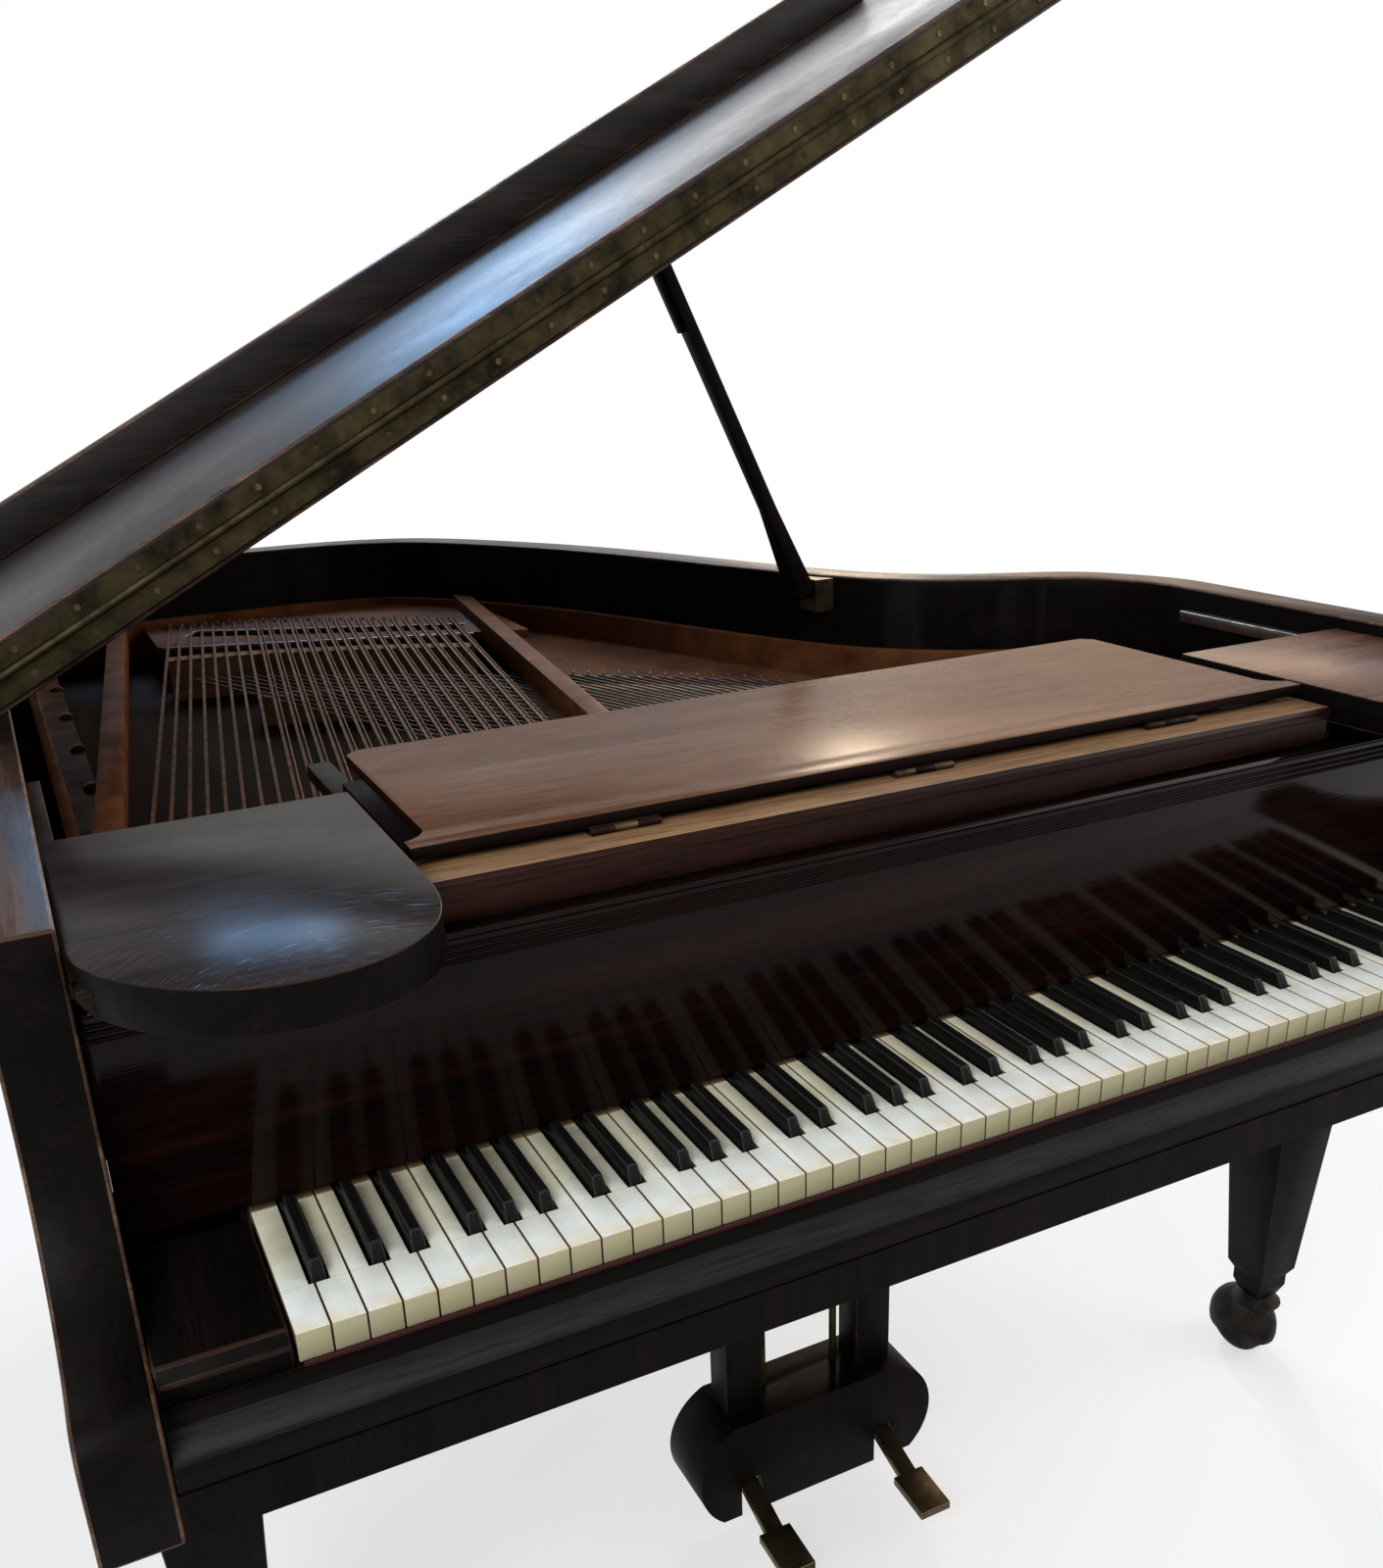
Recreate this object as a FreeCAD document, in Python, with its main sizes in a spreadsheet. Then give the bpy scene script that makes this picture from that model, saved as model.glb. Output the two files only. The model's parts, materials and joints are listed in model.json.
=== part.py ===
import FreeCAD, Part
import math
import os
import re

import Sketcher

V = FreeCAD.Vector
X_AXIS = V(1, 0, 0)
Y_AXIS = V(0, 1, 0)
Z_AXIS = V(0, 0, 1)

# Grand piano, millimetres. Working coordinates: X from the middle of the keyboard, Y back from the
# front edge of the white keys, Z up from the white key tops. HOME moves them to the part's frame,
# whose origin is on the floor under the middle of the whole piano.

SIZES = {
    # Keyboard
    "key_pitch": 23.5,
    "key_gap": 1.2,
    "key_stick": 400.0,
    "natural_thick": 22.0,
    "natural_head": 48.0,
    "sharp_width": 10.4,
    "sharp_taper": 0.9,
    "sharp_rise": 12.0,
    "sharp_length": 94.0,
    "sharp_bevel": 7.0,
    "sharp_front_gap": 1.8,
    "balance_line": 232.0,
    "balance_rail": 10.0,
    "balance_rod": 4.0,
    "back_rail": 24.0,
    "front_rail": 40.0,
    "front_rail_drop": 14.0,
    "seat_gap": 0.3,
    # Case
    "key_height": 765.0,
    "block_wide": 83.7,
    "rim_wall": 50.0,
    "rim_top": 250.0,
    "case_foot": 95.0,
    "case_length": 1890.0,
    "bend_gap": 7.4,
    "arm_reach": 40.0,
    "cheek_line": 133.0,
    "cheek_round": 130.0,
    "arm_nose": 26.0,
    "tail_round": 190.0,
    "keybed_thick": 35.0,
    "bed_margin": 40.0,
    "keybed_inset": 2.0,
    "block_gap": 2.0,
    "block_chamfer": 9.0,
    "block_length": 148.0,
    "slip_back": 2.0,
    "slip_front": 37.0,
    "slip_top": 22.0,
    "slip_fall": 9.0,
    "slip_round": 7.0,
    "liner_width": 40.0,
    "liner_top": 76.0,
    "liner_thick": 60.0,
    "belly_gap": 4.0,
    "belly_thick": 40.0,
    "beam_width": 70.0,
    "beam_height": 90.0,
    # Fallboard and stretcher
    "fall_front": 150.0,
    "fall_thick": 16.0,
    "fall_low": 8.0,
    "fall_high": 184.0,
    "fall_pivot_rise": 22.0,
    "fall_pivot_back": 12.0,
    "fall_pivot_radius": 4.0,
    "fall_end_gap": 2.0,
    "fall_bead": 2.5,
    "fall_bead_drop": 6.0,
    "stretcher_gap": 1.5,
    "stretcher_thick": 36.0,
    "stretcher_low": 62.0,
    "stretcher_top": 172.0,
    # Music desk
    "ledge_half": 455.0,
    "ledge_front": 160.0,
    "ledge_depth": 53.0,
    "ledge_top": 220.0,
    "ledge_thick": 33.0,
    "ledge_bead": 6.0,
    "tray_inset": 15.0,
    "tray_depth": 262.0,
    "tray_bar": 46.0,
    "tray_thick": 24.0,
    "panel_ear_inset": 2.0,
    "panel_body_inset": 22.0,
    "panel_front": 195.0,
    "panel_ear": 32.0,
    "panel_notch": 15.0,
    "panel_back": 488.0,
    "panel_corner": 12.0,
    "panel_thick": 9.6,
    "desk_barrel": 3.2,
    "desk_pin": 1.5,
    "desk_leaf": 16.0,
    "desk_leaf_thick": 1.4,
    "desk_hinge_length": 60.0,
    "runner_width": 24.0,
    "runner_thick": 15.0,
    "runner_reach": 640.0,
    "runner_post": 30.0,
    # Side shelves
    "shelf_outer_gap": 2.5,
    "shelf_ledge_gap": 4.0,
    "shelf_back": 365.0,
    "shelf_front": 6.0,
    "shelf_shoulder": 130.0,
    "shelf_top": 236.0,
    "shelf_thick": 32.0,
    "slide_width": 12.0,
    "slide_thick": 14.0,
    "slide_drop": 14.0,
    "slide_front": 140.0,
    "slide_end_gap": 23.4,
    "slide_gap": 0.4,
    # Sounding parts
    "board_thick": 9.0,
    "board_gap": 1.0,
    "block_top": 104.0,
    "block_thick": 44.0,
    "hammer_gap": 16.0,
    "plate_gap": 25.0,
    "plate_band": 80.0,
    "plate_ledge": 48.0,
    "plate_thick": 12.0,
    "plate_lip": 12.0,
    "plate_lip_top": 158.0,
    "strut_width": 26.0,
    "strut_low": 131.0,
    "strut_top": 166.0,
    "strut_foot": 34.0,
    "string_width": 1.6,
    "bass_string_width": 3.6,
    "treble_level": 126.0,
    "bass_level": 146.0,
    "string_lead": 6.0,
    "agraffe_inset": 6.0,
    "agraffe_bar": 9.0,
    "bridge_width": 30.0,
    "hitch_web": 14.0,
    "shank_reach": 28.0,
    "hammer_head": 14.0,
    "hammer_width": 9.0,
    "hammer_top": 92.0,
    "hammer_tall": 42.0,
    "hammer_shank": 5.0,
    "action_rail_low": 26.0,
    "action_rail": 16.0,
    "damper_gap": 10.0,
    "damper_depth": 18.0,
    "damper_width": 9.0,
    "damper_tall": 14.0,
    "damper_wire": 2.0,
    "damper_tray_low": 20.0,
    "damper_tray": 14.0,
    # Lid, its fold and its prop
    "lid_open": 28.0,
    "lid_thick": 27.0,
    "lid_gap": 5.0,
    "fold_line": 612.0,
    "flap_front": 131.0,
    "rail_thick": 22.0,
    "rail_height": 50.0,
    "rail_end_gap": 4.0,
    "fold_barrel": 4.0,
    "fold_pin": 2.0,
    "fold_leaf": 22.0,
    "fold_leaf_thick": 1.6,
    "fold_hinge_inset": 17.0,
    "lid_barrel": 6.0,
    "lid_pin": 3.0,
    "lid_leaf": 26.0,
    "lid_leaf_thick": 3.0,
    "lid_hinge_length": 90.0,
    "hinge_gap": 0.5,
    "pin_clear": 0.08,
    "prop_line": 985.0,
    "prop_rim_gap": 29.0,
    "prop_foot_z": 232.0,
    "prop_lean": 25.5,
    "prop_width": 24.0,
    "prop_thick": 15.0,
    "prop_knuckle": 13.0,
    "prop_pin": 4.0,
    "prop_head_gap": 0.6,
    "prop_flare": 9.0,
    "prop_flare_wide": 11.0,
    "prop_flare_rise": 130.0,
    "short_prop_length": 130.0,
    "short_prop_thick": 7.0,
    "short_prop_width": 14.0,
    "short_prop_drop": 16.0,
    "short_prop_barrel": 4.5,
    "bracket_height": 60.0,
    "bracket_length": 44.0,
    # Legs and casters
    "leg_inset": 21.0,
    "leg_y": 334.0,
    "rear_leg_x": -250.0,
    "rear_leg_inset": 280.0,
    "leg_top": 126.0,
    "leg_foot": 60.0,
    "leg_chamfer_rise": 12.0,
    "leg_neck": 47.0,
    "leg_neck_rise": 16.0,
    "leg_waist": 34.0,
    "leg_taper_rise": 16.0,
    "caster_room": 100.0,
    "caster_stem": 9.0,
    "caster_stem_rise": 34.0,
    "caster_hood": 31.0,
    "caster_hood_rise": 13.0,
    "caster_cheek": 5.0,
    "wheel_radius": 42.0,
    "wheel_width": 44.0,
    "wheel_round": 12.0,
    "wheel_gap": 1.0,
    "caster_trail": 18.0,
    "axle_radius": 5.0,
    # Lyre and pedals
    "lyre_post_x": 88.0,
    "lyre_post_wide": 48.0,
    "lyre_post_deep": 40.0,
    "lyre_inset": 28.0,
    "lyre_box_half": 158.0,
    "lyre_box_top_half": 112.0,
    "lyre_box_low_half": 130.0,
    "lyre_box_deep": 84.0,
    "lyre_box_top": 592.0,
    "lyre_box_tall": 130.0,
    "lyre_roof": 30.0,
    "lyre_wall": 14.0,
    "lyre_head_tall": 28.0,
    "brace_radius": 8.0,
    "brace_gap": 4.0,
    "pedal_x": 92.0,
    "pedal_wide": 22.0,
    "pedal_tip_wide": 40.0,
    "pedal_tip_length": 58.0,
    "pedal_thick": 10.0,
    "pedal_reach": 110.0,
    "pedal_pivot_back": 30.0,
    "pedal_pin": 4.0,
    "pedal_slot_gap": 3.0,
    "pedal_drop": 40.0,
    "pedal_fall": 26.0,
    "pedal_heel": 12.0,
    "rod_radius": 4.5,
    "rod_x": 49.0,
    "rod_back": 21.0,
    "rod_rise": 6.0,
    "overrun": 20.0,
}

# Places along the bent side, as shares of the outer half width and of the way from its start to the tail
BENT_SIDE_SHARES = [
    (1.0, 0.0),
    (0.9625, 0.078),
    (0.902, 0.1325),
    (0.747, 0.1895),
    (0.609, 0.265),
    (0.537, 0.345),
    (0.411, 0.538),
    (0.296, 0.698),
    (0.149, 0.8467),
    (-0.009, 0.9535),
    (-0.347, 1.0),
]
OFFSET_STEPS = 22
KEYS = 88
NOTE_WORDS = ("c", "c_sharp", "d", "d_sharp", "e", "f", "f_sharp", "g", "g_sharp", "a", "a_sharp", "b")
OCTAVE = len(NOTE_WORDS)
NATURAL_NOTES = [note for note, word in enumerate(NOTE_WORDS) if "sharp" not in word]
FIRST_NOTE = NOTE_WORDS.index("a")
UPPER_NOTE = NOTE_WORDS.index("f")
NATURALS = sum((FIRST_NOTE + key) % OCTAVE in NATURAL_NOTES for key in range(KEYS))
FREE_KEYS = range(39, 51)
BASS_STRINGS = 26
TREBLE_STRINGS = KEYS - BASS_STRINGS
DAMPED_NOTES = 66
TREBLE_HITCH_FROM = 26
TREBLE_BRIDGED = 52
HITCH_STEPS = 5
BRIDGE_STEPS = 8
FOLD_KNUCKLES = 13
SHORT_HINGE_KNUCKLES = 3

# Strings, as shares of the inner half width (first and last start, first and last end) and of the
# tail's distance (first end, how much nearer the last one ends), with the power of the curve between
BASS_SHARES = (-0.90, -0.26, -0.62, -0.02, 0.943, 0.115, 1.5)
TREBLE_SHARES = (-0.08, 0.87, -0.64, 0.85, 0.76, 0.435, 1.3)
BASS_BRIDGE_SHARE = 0.80
TREBLE_BRIDGE_SHARE = 0.84

# Places across the case as shares of a half width, front end and back end where there are two
STRUT_SHARES = ((-0.945, -0.72), (-0.175, 0.10))
BEAM_SHARES = ((-0.62, -0.62), (-0.05, -0.3), (0.55, 0.12))
ACTION_POST_SHARES = (-0.96, -0.32, 0.32, 0.96)
LID_HINGES_SHARES = (0.12, 0.5, 0.86)
DESK_HINGES_SHARES = (-0.62, 0.0, 0.62)

# Round front of a side shelf, as shares of its width and of the way from its front to its shoulder
SHELF_FRONT_SHARES = ((0.11, 0.28), (0.42, 0.0), (0.82, 0.30))

# Bass end of the iron frame, as shares of the frame's band
WEB_AHEAD_SHARE = 2.0
WEB_BEHIND_SHARE = 3.0
WEB_FOOT_SHARE = 0.6
WEB_SLOT_SHARE = 0.9
WEB_SLOT_WIDE_SHARE = 0.7

# Places that follow from the sizes
PLACES = {
    "inner_half": f"{NATURALS} * key_pitch / 2 + block_gap + block_wide + seat_gap",
    "keybed_depth": "key_stick + bed_margin",
    "hammer_line": "key_stick + block_gap + action_rail + shank_reach",
    "block_back": "hammer_line - hammer_gap",
    "agraffe_line": "block_back - agraffe_inset",
    "string_front": "agraffe_line - string_lead",
    "damper_line": "hammer_line + hammer_head + damper_gap",
    "belly_front": "damper_line + damper_depth + belly_gap",
    "bend_start": "fold_line + fold_barrel + bend_gap",
    "tray_half": "ledge_half - tray_inset",
    "panel_ear_half": "ledge_half - panel_ear_inset",
    "panel_body_half": "ledge_half - panel_body_inset",
    "shelf_inner": "ledge_half + shelf_ledge_gap",
    "slide_back": "bend_start - slide_end_gap",
    "leg_x": "inner_half - leg_inset",
    "rear_leg_y": "case_length - arm_reach - rear_leg_inset",
    "lyre_y": "keybed_depth - lyre_inset",
}

doc = FreeCAD.newDocument("grand_piano")


def fill_sheet(name, values):
    """A sheet with one named cell in each row."""
    made = doc.addObject("Spreadsheet::Sheet", name)
    for row, (alias, value) in enumerate(values.items(), 1):
        made.set(f"A{row}", alias)
        made.set(f"B{row}", value)
        made.setAlias(f"B{row}", alias)
    doc.recompute()
    return made


def with_sheet(text, own=""):
    """Puts the name of its sheet before each alias in an expression, but not inside the sheet itself."""
    def named(match):
        word = match.group()
        if word in SIZES:
            return f"Sizes.{word}"
        return f"Places.{word}" if word in PLACES and own != "Places" else word
    return re.sub(r"[a-z]\w*", named, text)


sheet = fill_sheet("Sizes", {alias: str(value) for alias, value in SIZES.items()})
places = fill_sheet("Places", {alias: "=" + with_sheet(text, "Places") for alias, text in PLACES.items()})


class Cells:
    """The sheets' values, read by alias."""

    def __getattr__(self, alias):
        return float((sheet if alias in SIZES else places).get(alias))


s = Cells()
nodes = []

# Derived places
outer_half = s.inner_half + s.rim_wall
tail = s.case_length - s.arm_reach
keyboard_half = NATURALS * s.key_pitch / 2
bed_top = s.keybed_thick - s.case_foot
lid_low = s.rim_top + s.lid_gap
lid_top = lid_low + s.lid_thick
fold_axis = V(0, s.fold_line, lid_top + s.fold_barrel / 4)
lid_axis = V(-outer_half - s.lid_barrel, 0, s.rim_top + s.lid_gap / 2)
stack = 2 * s.lid_thick + s.rail_height
swing_left = stack * math.sin(math.radians(s.lid_open))
HOME = V(swing_left / 2, s.arm_reach - s.case_length / 2, s.key_height)
HOME_TEXT = (
    "((2 * lid_thick + rail_height) * sin(lid_open * 1 deg) / 2)",
    "(arm_reach - case_length / 2)",
    "(key_height)",
)
LID_TURN = FreeCAD.Rotation(Y_AXIS, -s.lid_open)


def place(obj, x="0", y="0", z="0"):
    """Binds an object's place, given in working coordinates, to the sheet."""
    for axis, text, home in zip("xyz", (x, y, z), HOME_TEXT):
        obj.setExpression(f"Placement.Base.{axis}", with_sheet(f"{home} + ({text})"))
    return obj


def node(obj, label):
    obj.Label = label
    nodes.append(obj)
    return obj


def box(name, x, y, z, wide, deep, tall):
    """A bound block by its low corner and its three sizes."""
    obj = doc.addObject("Part::Box", name)
    for prop, text in (("Length", wide), ("Width", deep), ("Height", tall)):
        obj.setExpression(prop, with_sheet(text))
    return place(obj, x, y, z)


def rod(name, x, y, z, radius, length, axis=Z_AXIS):
    """A bound cylinder from a point along an axis."""
    obj = doc.addObject("Part::Cylinder", name)
    obj.Placement.Rotation = FreeCAD.Rotation(Z_AXIS, axis)
    obj.setExpression("Radius", with_sheet(radius))
    obj.setExpression("Height", with_sheet(length))
    return place(obj, x, y, z)


def cut(name, base, tool):
    obj = doc.addObject("Part::Cut", name)
    obj.Base = base
    obj.Tool = tool
    return obj


def group(name, members):
    obj = doc.addObject("Part::Compound", name)
    obj.Links = members
    return obj


def fuse(name, members):
    obj = doc.addObject("Part::MultiFuse", name)
    obj.Shapes = members
    return obj


def shaped(name, shape, turn=FreeCAD.Rotation(), about=V()):
    """A solid, or a group of solids, set straight from the sheet's values."""
    obj = doc.addObject("Part::Feature", name)
    obj.Shape = shape
    swung = FreeCAD.Placement(V(), turn, about)
    obj.Placement = FreeCAD.Placement(HOME, FreeCAD.Rotation()).multiply(swung)
    return obj


def feature(label, shape, turn=FreeCAD.Rotation(), about=V()):
    return node(shaped(label, shape, turn, about), label)


def profile(name, plane, points, length, x="0", y="0", z="0", symmetric=True):
    """A PartDesign body: a closed bound outline on an origin plane, padded."""
    body = doc.addObject("PartDesign::Body", name)
    sketch = body.newObject("Sketcher::SketchObject", name + "_outline")
    flat = next(f for f in body.Origin.OriginFeatures if f.Role == plane)
    sketch.AttachmentSupport = [(flat, "")]
    sketch.MapMode = "FlatFace"
    count = len(points)
    rough = [V(math.cos(math.tau * i / count), math.sin(math.tau * i / count), 0) for i in range(count)]
    for i in range(count):
        sketch.addGeometry(Part.LineSegment(rough[i], rough[(i + 1) % count]))
    for i in range(count):
        sketch.addConstraint(Sketcher.Constraint("Coincident", i, 2, (i + 1) % count, 1))
    for i, pair in enumerate(points):
        for kind, text in zip(("DistanceX", "DistanceY"), pair):
            index = sketch.addConstraint(Sketcher.Constraint(kind, -1, 1, i, 1, 0.0))
            sketch.setExpression(f"Constraints[{index}]", with_sheet(text))
    pad = body.newObject("PartDesign::Pad", name + "_pad")
    pad.Profile = sketch
    pad.setExpression("Length", with_sheet(length))
    if symmetric:
        pad.SideType = "Symmetric"
    body.Tip = pad
    return place(body, x, y, z)


def block(low, high):
    """A plain block between two corners."""
    size = high - low
    return Part.makeBox(size.x, size.y, size.z, low)


def prism(points, low, high):
    """An upright prism over a closed outline of straight edges."""
    corners = [V(p[0], p[1], low) for p in points]
    return Part.Face(Part.makePolygon(corners + corners[:1])).extrude(V(0, 0, high - low))


def bar(start, end, wide, low, high):
    """An upright strip of a width between two places in plan."""
    along = (end - start).normalize()
    side = V(-along.y, along.x, 0) * (wide / 2)
    return prism([start + side, start - side, end - side, end + side], low, high)


# Outline of the case
def bent_side(inset):
    """The curved right side, moved inwards by an inset."""
    way = tail - s.bend_start
    points = [V(outer_half * across, s.bend_start + way * along, 0) for across, along in BENT_SIDE_SHARES]
    curve = Part.BSplineCurve()
    curve.interpolate(Points=points, InitialTangent=Y_AXIS, FinalTangent=-X_AXIS, Scale=False)
    if not inset:
        return curve
    inner_points = []
    for i in range(OFFSET_STEPS + 1):
        at = curve.FirstParameter + (curve.LastParameter - curve.FirstParameter) * i / OFFSET_STEPS
        along = V(*curve.tangent(at)[0]).normalize()
        inner_points.append(curve.value(at) + V(-along.y, along.x, 0) * inset)
    inner = Part.BSplineCurve()
    inner.interpolate(Points=inner_points, InitialTangent=Y_AXIS, FinalTangent=-X_AXIS, Scale=False)
    return inner


def case_face(inset):
    """The plan of the case from ahead of its arms to the tail, moved inwards by an inset."""
    half = outer_half - inset
    back = tail - inset
    turn = s.tail_round - inset
    ahead = -s.arm_reach - s.overrun
    curve = bent_side(inset)
    start = curve.value(curve.FirstParameter)
    end = curve.value(curve.LastParameter)
    corner = V(turn - half, back - turn, 0)
    high = corner + Y_AXIS * turn
    low = corner - X_AXIS * turn
    middle = corner + V(-1, 1, 0).normalize() * turn
    near_right = V(half, ahead, 0)
    near_left = V(-half, ahead, 0)
    return Part.Face(Part.Wire([
        Part.makeLine(near_right, start),
        curve.toShape(),
        Part.makeLine(end, high),
        Part.Arc(high, middle, low).toShape(),
        Part.makeLine(low, near_left),
        Part.makeLine(near_left, near_right),
    ]))


def case_solid(inset, front, low, high):
    """The plan of the case as a solid, from a front line to the tail."""
    face = case_face(inset)
    face.translate(V(0, 0, low))
    behind = block(
        V(-outer_half - s.overrun, front, low - s.overrun),
        V(outer_half + s.overrun, tail + s.overrun, high + s.overrun),
    )
    return face.extrude(V(0, 0, high - low)).common(behind)


def inner_wall_x(y):
    """Where the bent side's inner face crosses a line across the case."""
    across = Part.makeLine(V(-outer_half, y, 0), V(outer_half, y, 0))
    return bent_side(s.rim_wall).toShape().distToShape(across)[1][0][0].x


def arm_profile(half):
    """Side view of the case with its cheeks, as a solid across the whole width."""
    front = -s.arm_reach
    line = s.cheek_line
    sweep = s.cheek_round
    nose = s.arm_nose
    slant = math.sqrt(0.5)
    start = V(-half, line - sweep, 0)
    points = [
        V(-half, front, -s.case_foot),
        V(-half, front, -nose),
        V(-half, front + nose, 0),
        start,
        V(-half, line, sweep),
        V(-half, line, s.rim_top),
        V(-half, tail, s.rim_top),
        V(-half, tail, -s.case_foot),
    ]
    nose_mid = V(-half, front + nose * (1 - slant), -nose * (1 - slant))
    sweep_mid = V(-half, line - sweep * (1 - slant), sweep * (1 - slant))
    edges = [
        Part.makeLine(points[0], points[1]),
        Part.Arc(points[1], nose_mid, points[2]).toShape(),
        Part.makeLine(points[2], points[3]),
        Part.Arc(points[3], sweep_mid, points[4]).toShape(),
        Part.makeLine(points[4], points[5]),
        Part.makeLine(points[5], points[6]),
        Part.makeLine(points[6], points[7]),
        Part.makeLine(points[7], points[0]),
    ]
    return Part.Face(Part.Wire(edges)).extrude(V(2 * half, 0, 0))


def make_rim():
    outer = case_solid(0, -s.arm_reach, -s.case_foot, s.rim_top)
    open_front = -s.arm_reach - s.overrun
    inside = case_solid(s.rim_wall, open_front, -s.case_foot - s.overrun, s.rim_top + s.overrun)
    walls = outer.cut(inside)
    return walls.common(arm_profile(outer_half + s.overrun))


def make_liner():
    """The inner rim, a ledge that carries the soundboard and the iron frame."""
    low = s.liner_top - s.liner_thick
    front = s.belly_front + s.belly_thick
    outer = case_solid(s.rim_wall, front, low, s.liner_top)
    inset = s.rim_wall + s.liner_width
    return outer.cut(case_solid(inset, front - s.overrun, low - s.overrun, s.liner_top + s.overrun))


def make_back_frame():
    """Belly rail across the case and three beams from it to the rim."""
    low = -s.case_foot
    belly = block(
        V(-s.inner_half, s.belly_front, low),
        V(s.inner_half, s.belly_front + s.belly_thick, s.liner_top),
    )
    start = s.belly_front + s.belly_thick
    inside = case_solid(s.rim_wall, start, low, low + s.beam_height)
    beams = []
    for near_share, far_share in BEAM_SHARES:
        near = V(near_share * s.inner_half, start, 0)
        far = V(far_share * s.inner_half, tail, 0)
        ahead = (far - near).normalize() * s.beam_width
        beam = bar(near - ahead, far, s.beam_width, low, low + s.beam_height).common(inside)
        beams.append(beam.Solids[0])
    return Part.makeCompound([belly] + beams)


def make_case():
    feature("rim", make_rim())
    feature("inner_rim", make_liner())
    feature("back_frame", make_back_frame())
    bed = box(
        "keybed_board", "-inner_half + seat_gap", "-arm_reach + keybed_inset", "-case_foot",
        "2 * (inner_half - seat_gap)", "arm_reach - keybed_inset + keybed_depth", "keybed_thick",
    )
    node(bed, "keybed")
    low = "keybed_thick - case_foot"
    slip = profile(
        "key_slip_body", "YZ_Plane",
        [
            ("-slip_back", low),
            ("-slip_back", "-slip_top"),
            ("-slip_back - slip_round", "-slip_top - slip_round / 4"),
            ("-slip_front + slip_round", "-slip_top - slip_fall"),
            ("-slip_front", "-slip_top - slip_fall - slip_round"),
            ("-slip_front", low),
        ],
        "2 * (inner_half - seat_gap)",
    )
    node(slip, "key_slip")
    blocks = []
    for side, middle in (("left", -1), ("right", 1)):
        blocks.append(profile(
            f"key_block_{side}", "YZ_Plane",
            [
                ("0", low),
                ("0", "-block_chamfer"),
                ("block_chamfer", "0"),
                ("block_length", "0"),
                ("block_length", low),
            ],
            "block_wide",
            x=f"{middle} * (inner_half - seat_gap - block_wide / 2)",
        ))
    node(group("key_block_pair", blocks), "key_blocks")
    stretcher = box(
        "stretcher_board", "-inner_half", "fall_front + fall_thick + stretcher_gap", "stretcher_low",
        "2 * inner_half", "stretcher_thick", "stretcher_top - stretcher_low",
    )
    node(stretcher, "stretcher")


# Fallboard
def make_fallboard():
    half = "inner_half - fall_end_gap"
    pivot_y = "fall_front + fall_pivot_back"
    pivot_z = "fall_low + fall_pivot_rise"
    bead_low = "fall_high - fall_bead_drop"
    panel = profile(
        "fallboard_panel", "YZ_Plane",
        [
            ("fall_front", "fall_low"),
            ("fall_front", bead_low),
            ("fall_front - fall_bead", f"{bead_low} + fall_bead"),
            ("fall_front - fall_bead", "fall_high - fall_bead"),
            ("fall_front", "fall_high"),
            ("fall_front + fall_thick", "fall_high"),
            ("fall_front + fall_thick", "fall_low"),
        ],
        f"2 * ({half})",
    )
    pin_length = "fall_end_gap - seat_gap"
    pins = [
        rod(f"fallboard_pin_{end}", x, pivot_y, pivot_z, "fall_pivot_radius", pin_length, X_AXIS)
        for end, x in (("left", "-inner_half + seat_gap"), ("right", "inner_half - fall_end_gap"))
    ]
    node(fuse("fallboard_whole", [panel] + pins), "fallboard")


# Keys
def key_layout():
    """Each key's note, front edge and tail span across the keyboard."""
    layout = []
    natural = 0
    lower_naturals = sum(note < UPPER_NOTE for note in NATURAL_NOTES)
    upper_naturals = len(NATURAL_NOTES) - lower_naturals
    lower_slot = lower_naturals * s.key_pitch / UPPER_NOTE
    upper_slot = upper_naturals * s.key_pitch / (OCTAVE - UPPER_NOTE)
    before_first = sum(note < FIRST_NOTE for note in NATURAL_NOTES)
    octave_low = -keyboard_half - before_first * s.key_pitch
    for key in range(KEYS):
        octave, note = divmod(FIRST_NOTE + key, OCTAVE)
        base = octave_low + len(NATURAL_NOTES) * s.key_pitch * octave
        if note < UPPER_NOTE:
            slot = lower_slot
            tail_low = base + note * slot
        else:
            slot = upper_slot
            tail_low = base + lower_naturals * s.key_pitch + (note - UPPER_NOTE) * slot
        front_low = -keyboard_half + natural * s.key_pitch
        if note in NATURAL_NOTES:
            natural += 1
        layout.append((note, front_low, tail_low, tail_low + slot))
    return layout


def natural_key(front_low, tail_low, tail_high):
    gap = s.key_gap / 2
    head = s.natural_head
    low = front_low + gap
    high = front_low + s.key_pitch - gap
    left = max(tail_low + gap, low)
    right = min(tail_high - gap, high)
    points = [(low, 0), (high, 0), (high, head), (right, head)]
    points += [(right, s.key_stick), (left, s.key_stick), (left, head), (low, head)]
    trimmed = [p for i, p in enumerate(points) if p != points[i - 1]]
    return prism(trimmed, -s.natural_thick, 0)


def sharp_key(tail_low, tail_high):
    middle = (tail_low + tail_high) / 2
    half = s.sharp_width / 2
    top_half = half - s.sharp_taper
    front = s.natural_head + s.sharp_front_gap
    back = front + s.sharp_length
    stick = block(V(middle - half, front, -s.natural_thick), V(middle + half, s.key_stick, 0))
    lower = [
        V(middle - half, front, 0),
        V(middle + half, front, 0),
        V(middle + half, back, 0),
        V(middle - half, back, 0),
    ]
    upper = [
        V(middle - top_half, front + s.sharp_bevel, s.sharp_rise),
        V(middle + top_half, front + s.sharp_bevel, s.sharp_rise),
        V(middle + top_half, back, s.sharp_rise),
        V(middle - top_half, back, s.sharp_rise),
    ]
    loop = [Part.makePolygon(p + p[:1]) for p in (lower, upper)]
    cap = Part.makeLoft(loop, True, True)
    return stick.fuse(cap).removeSplitter()


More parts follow.
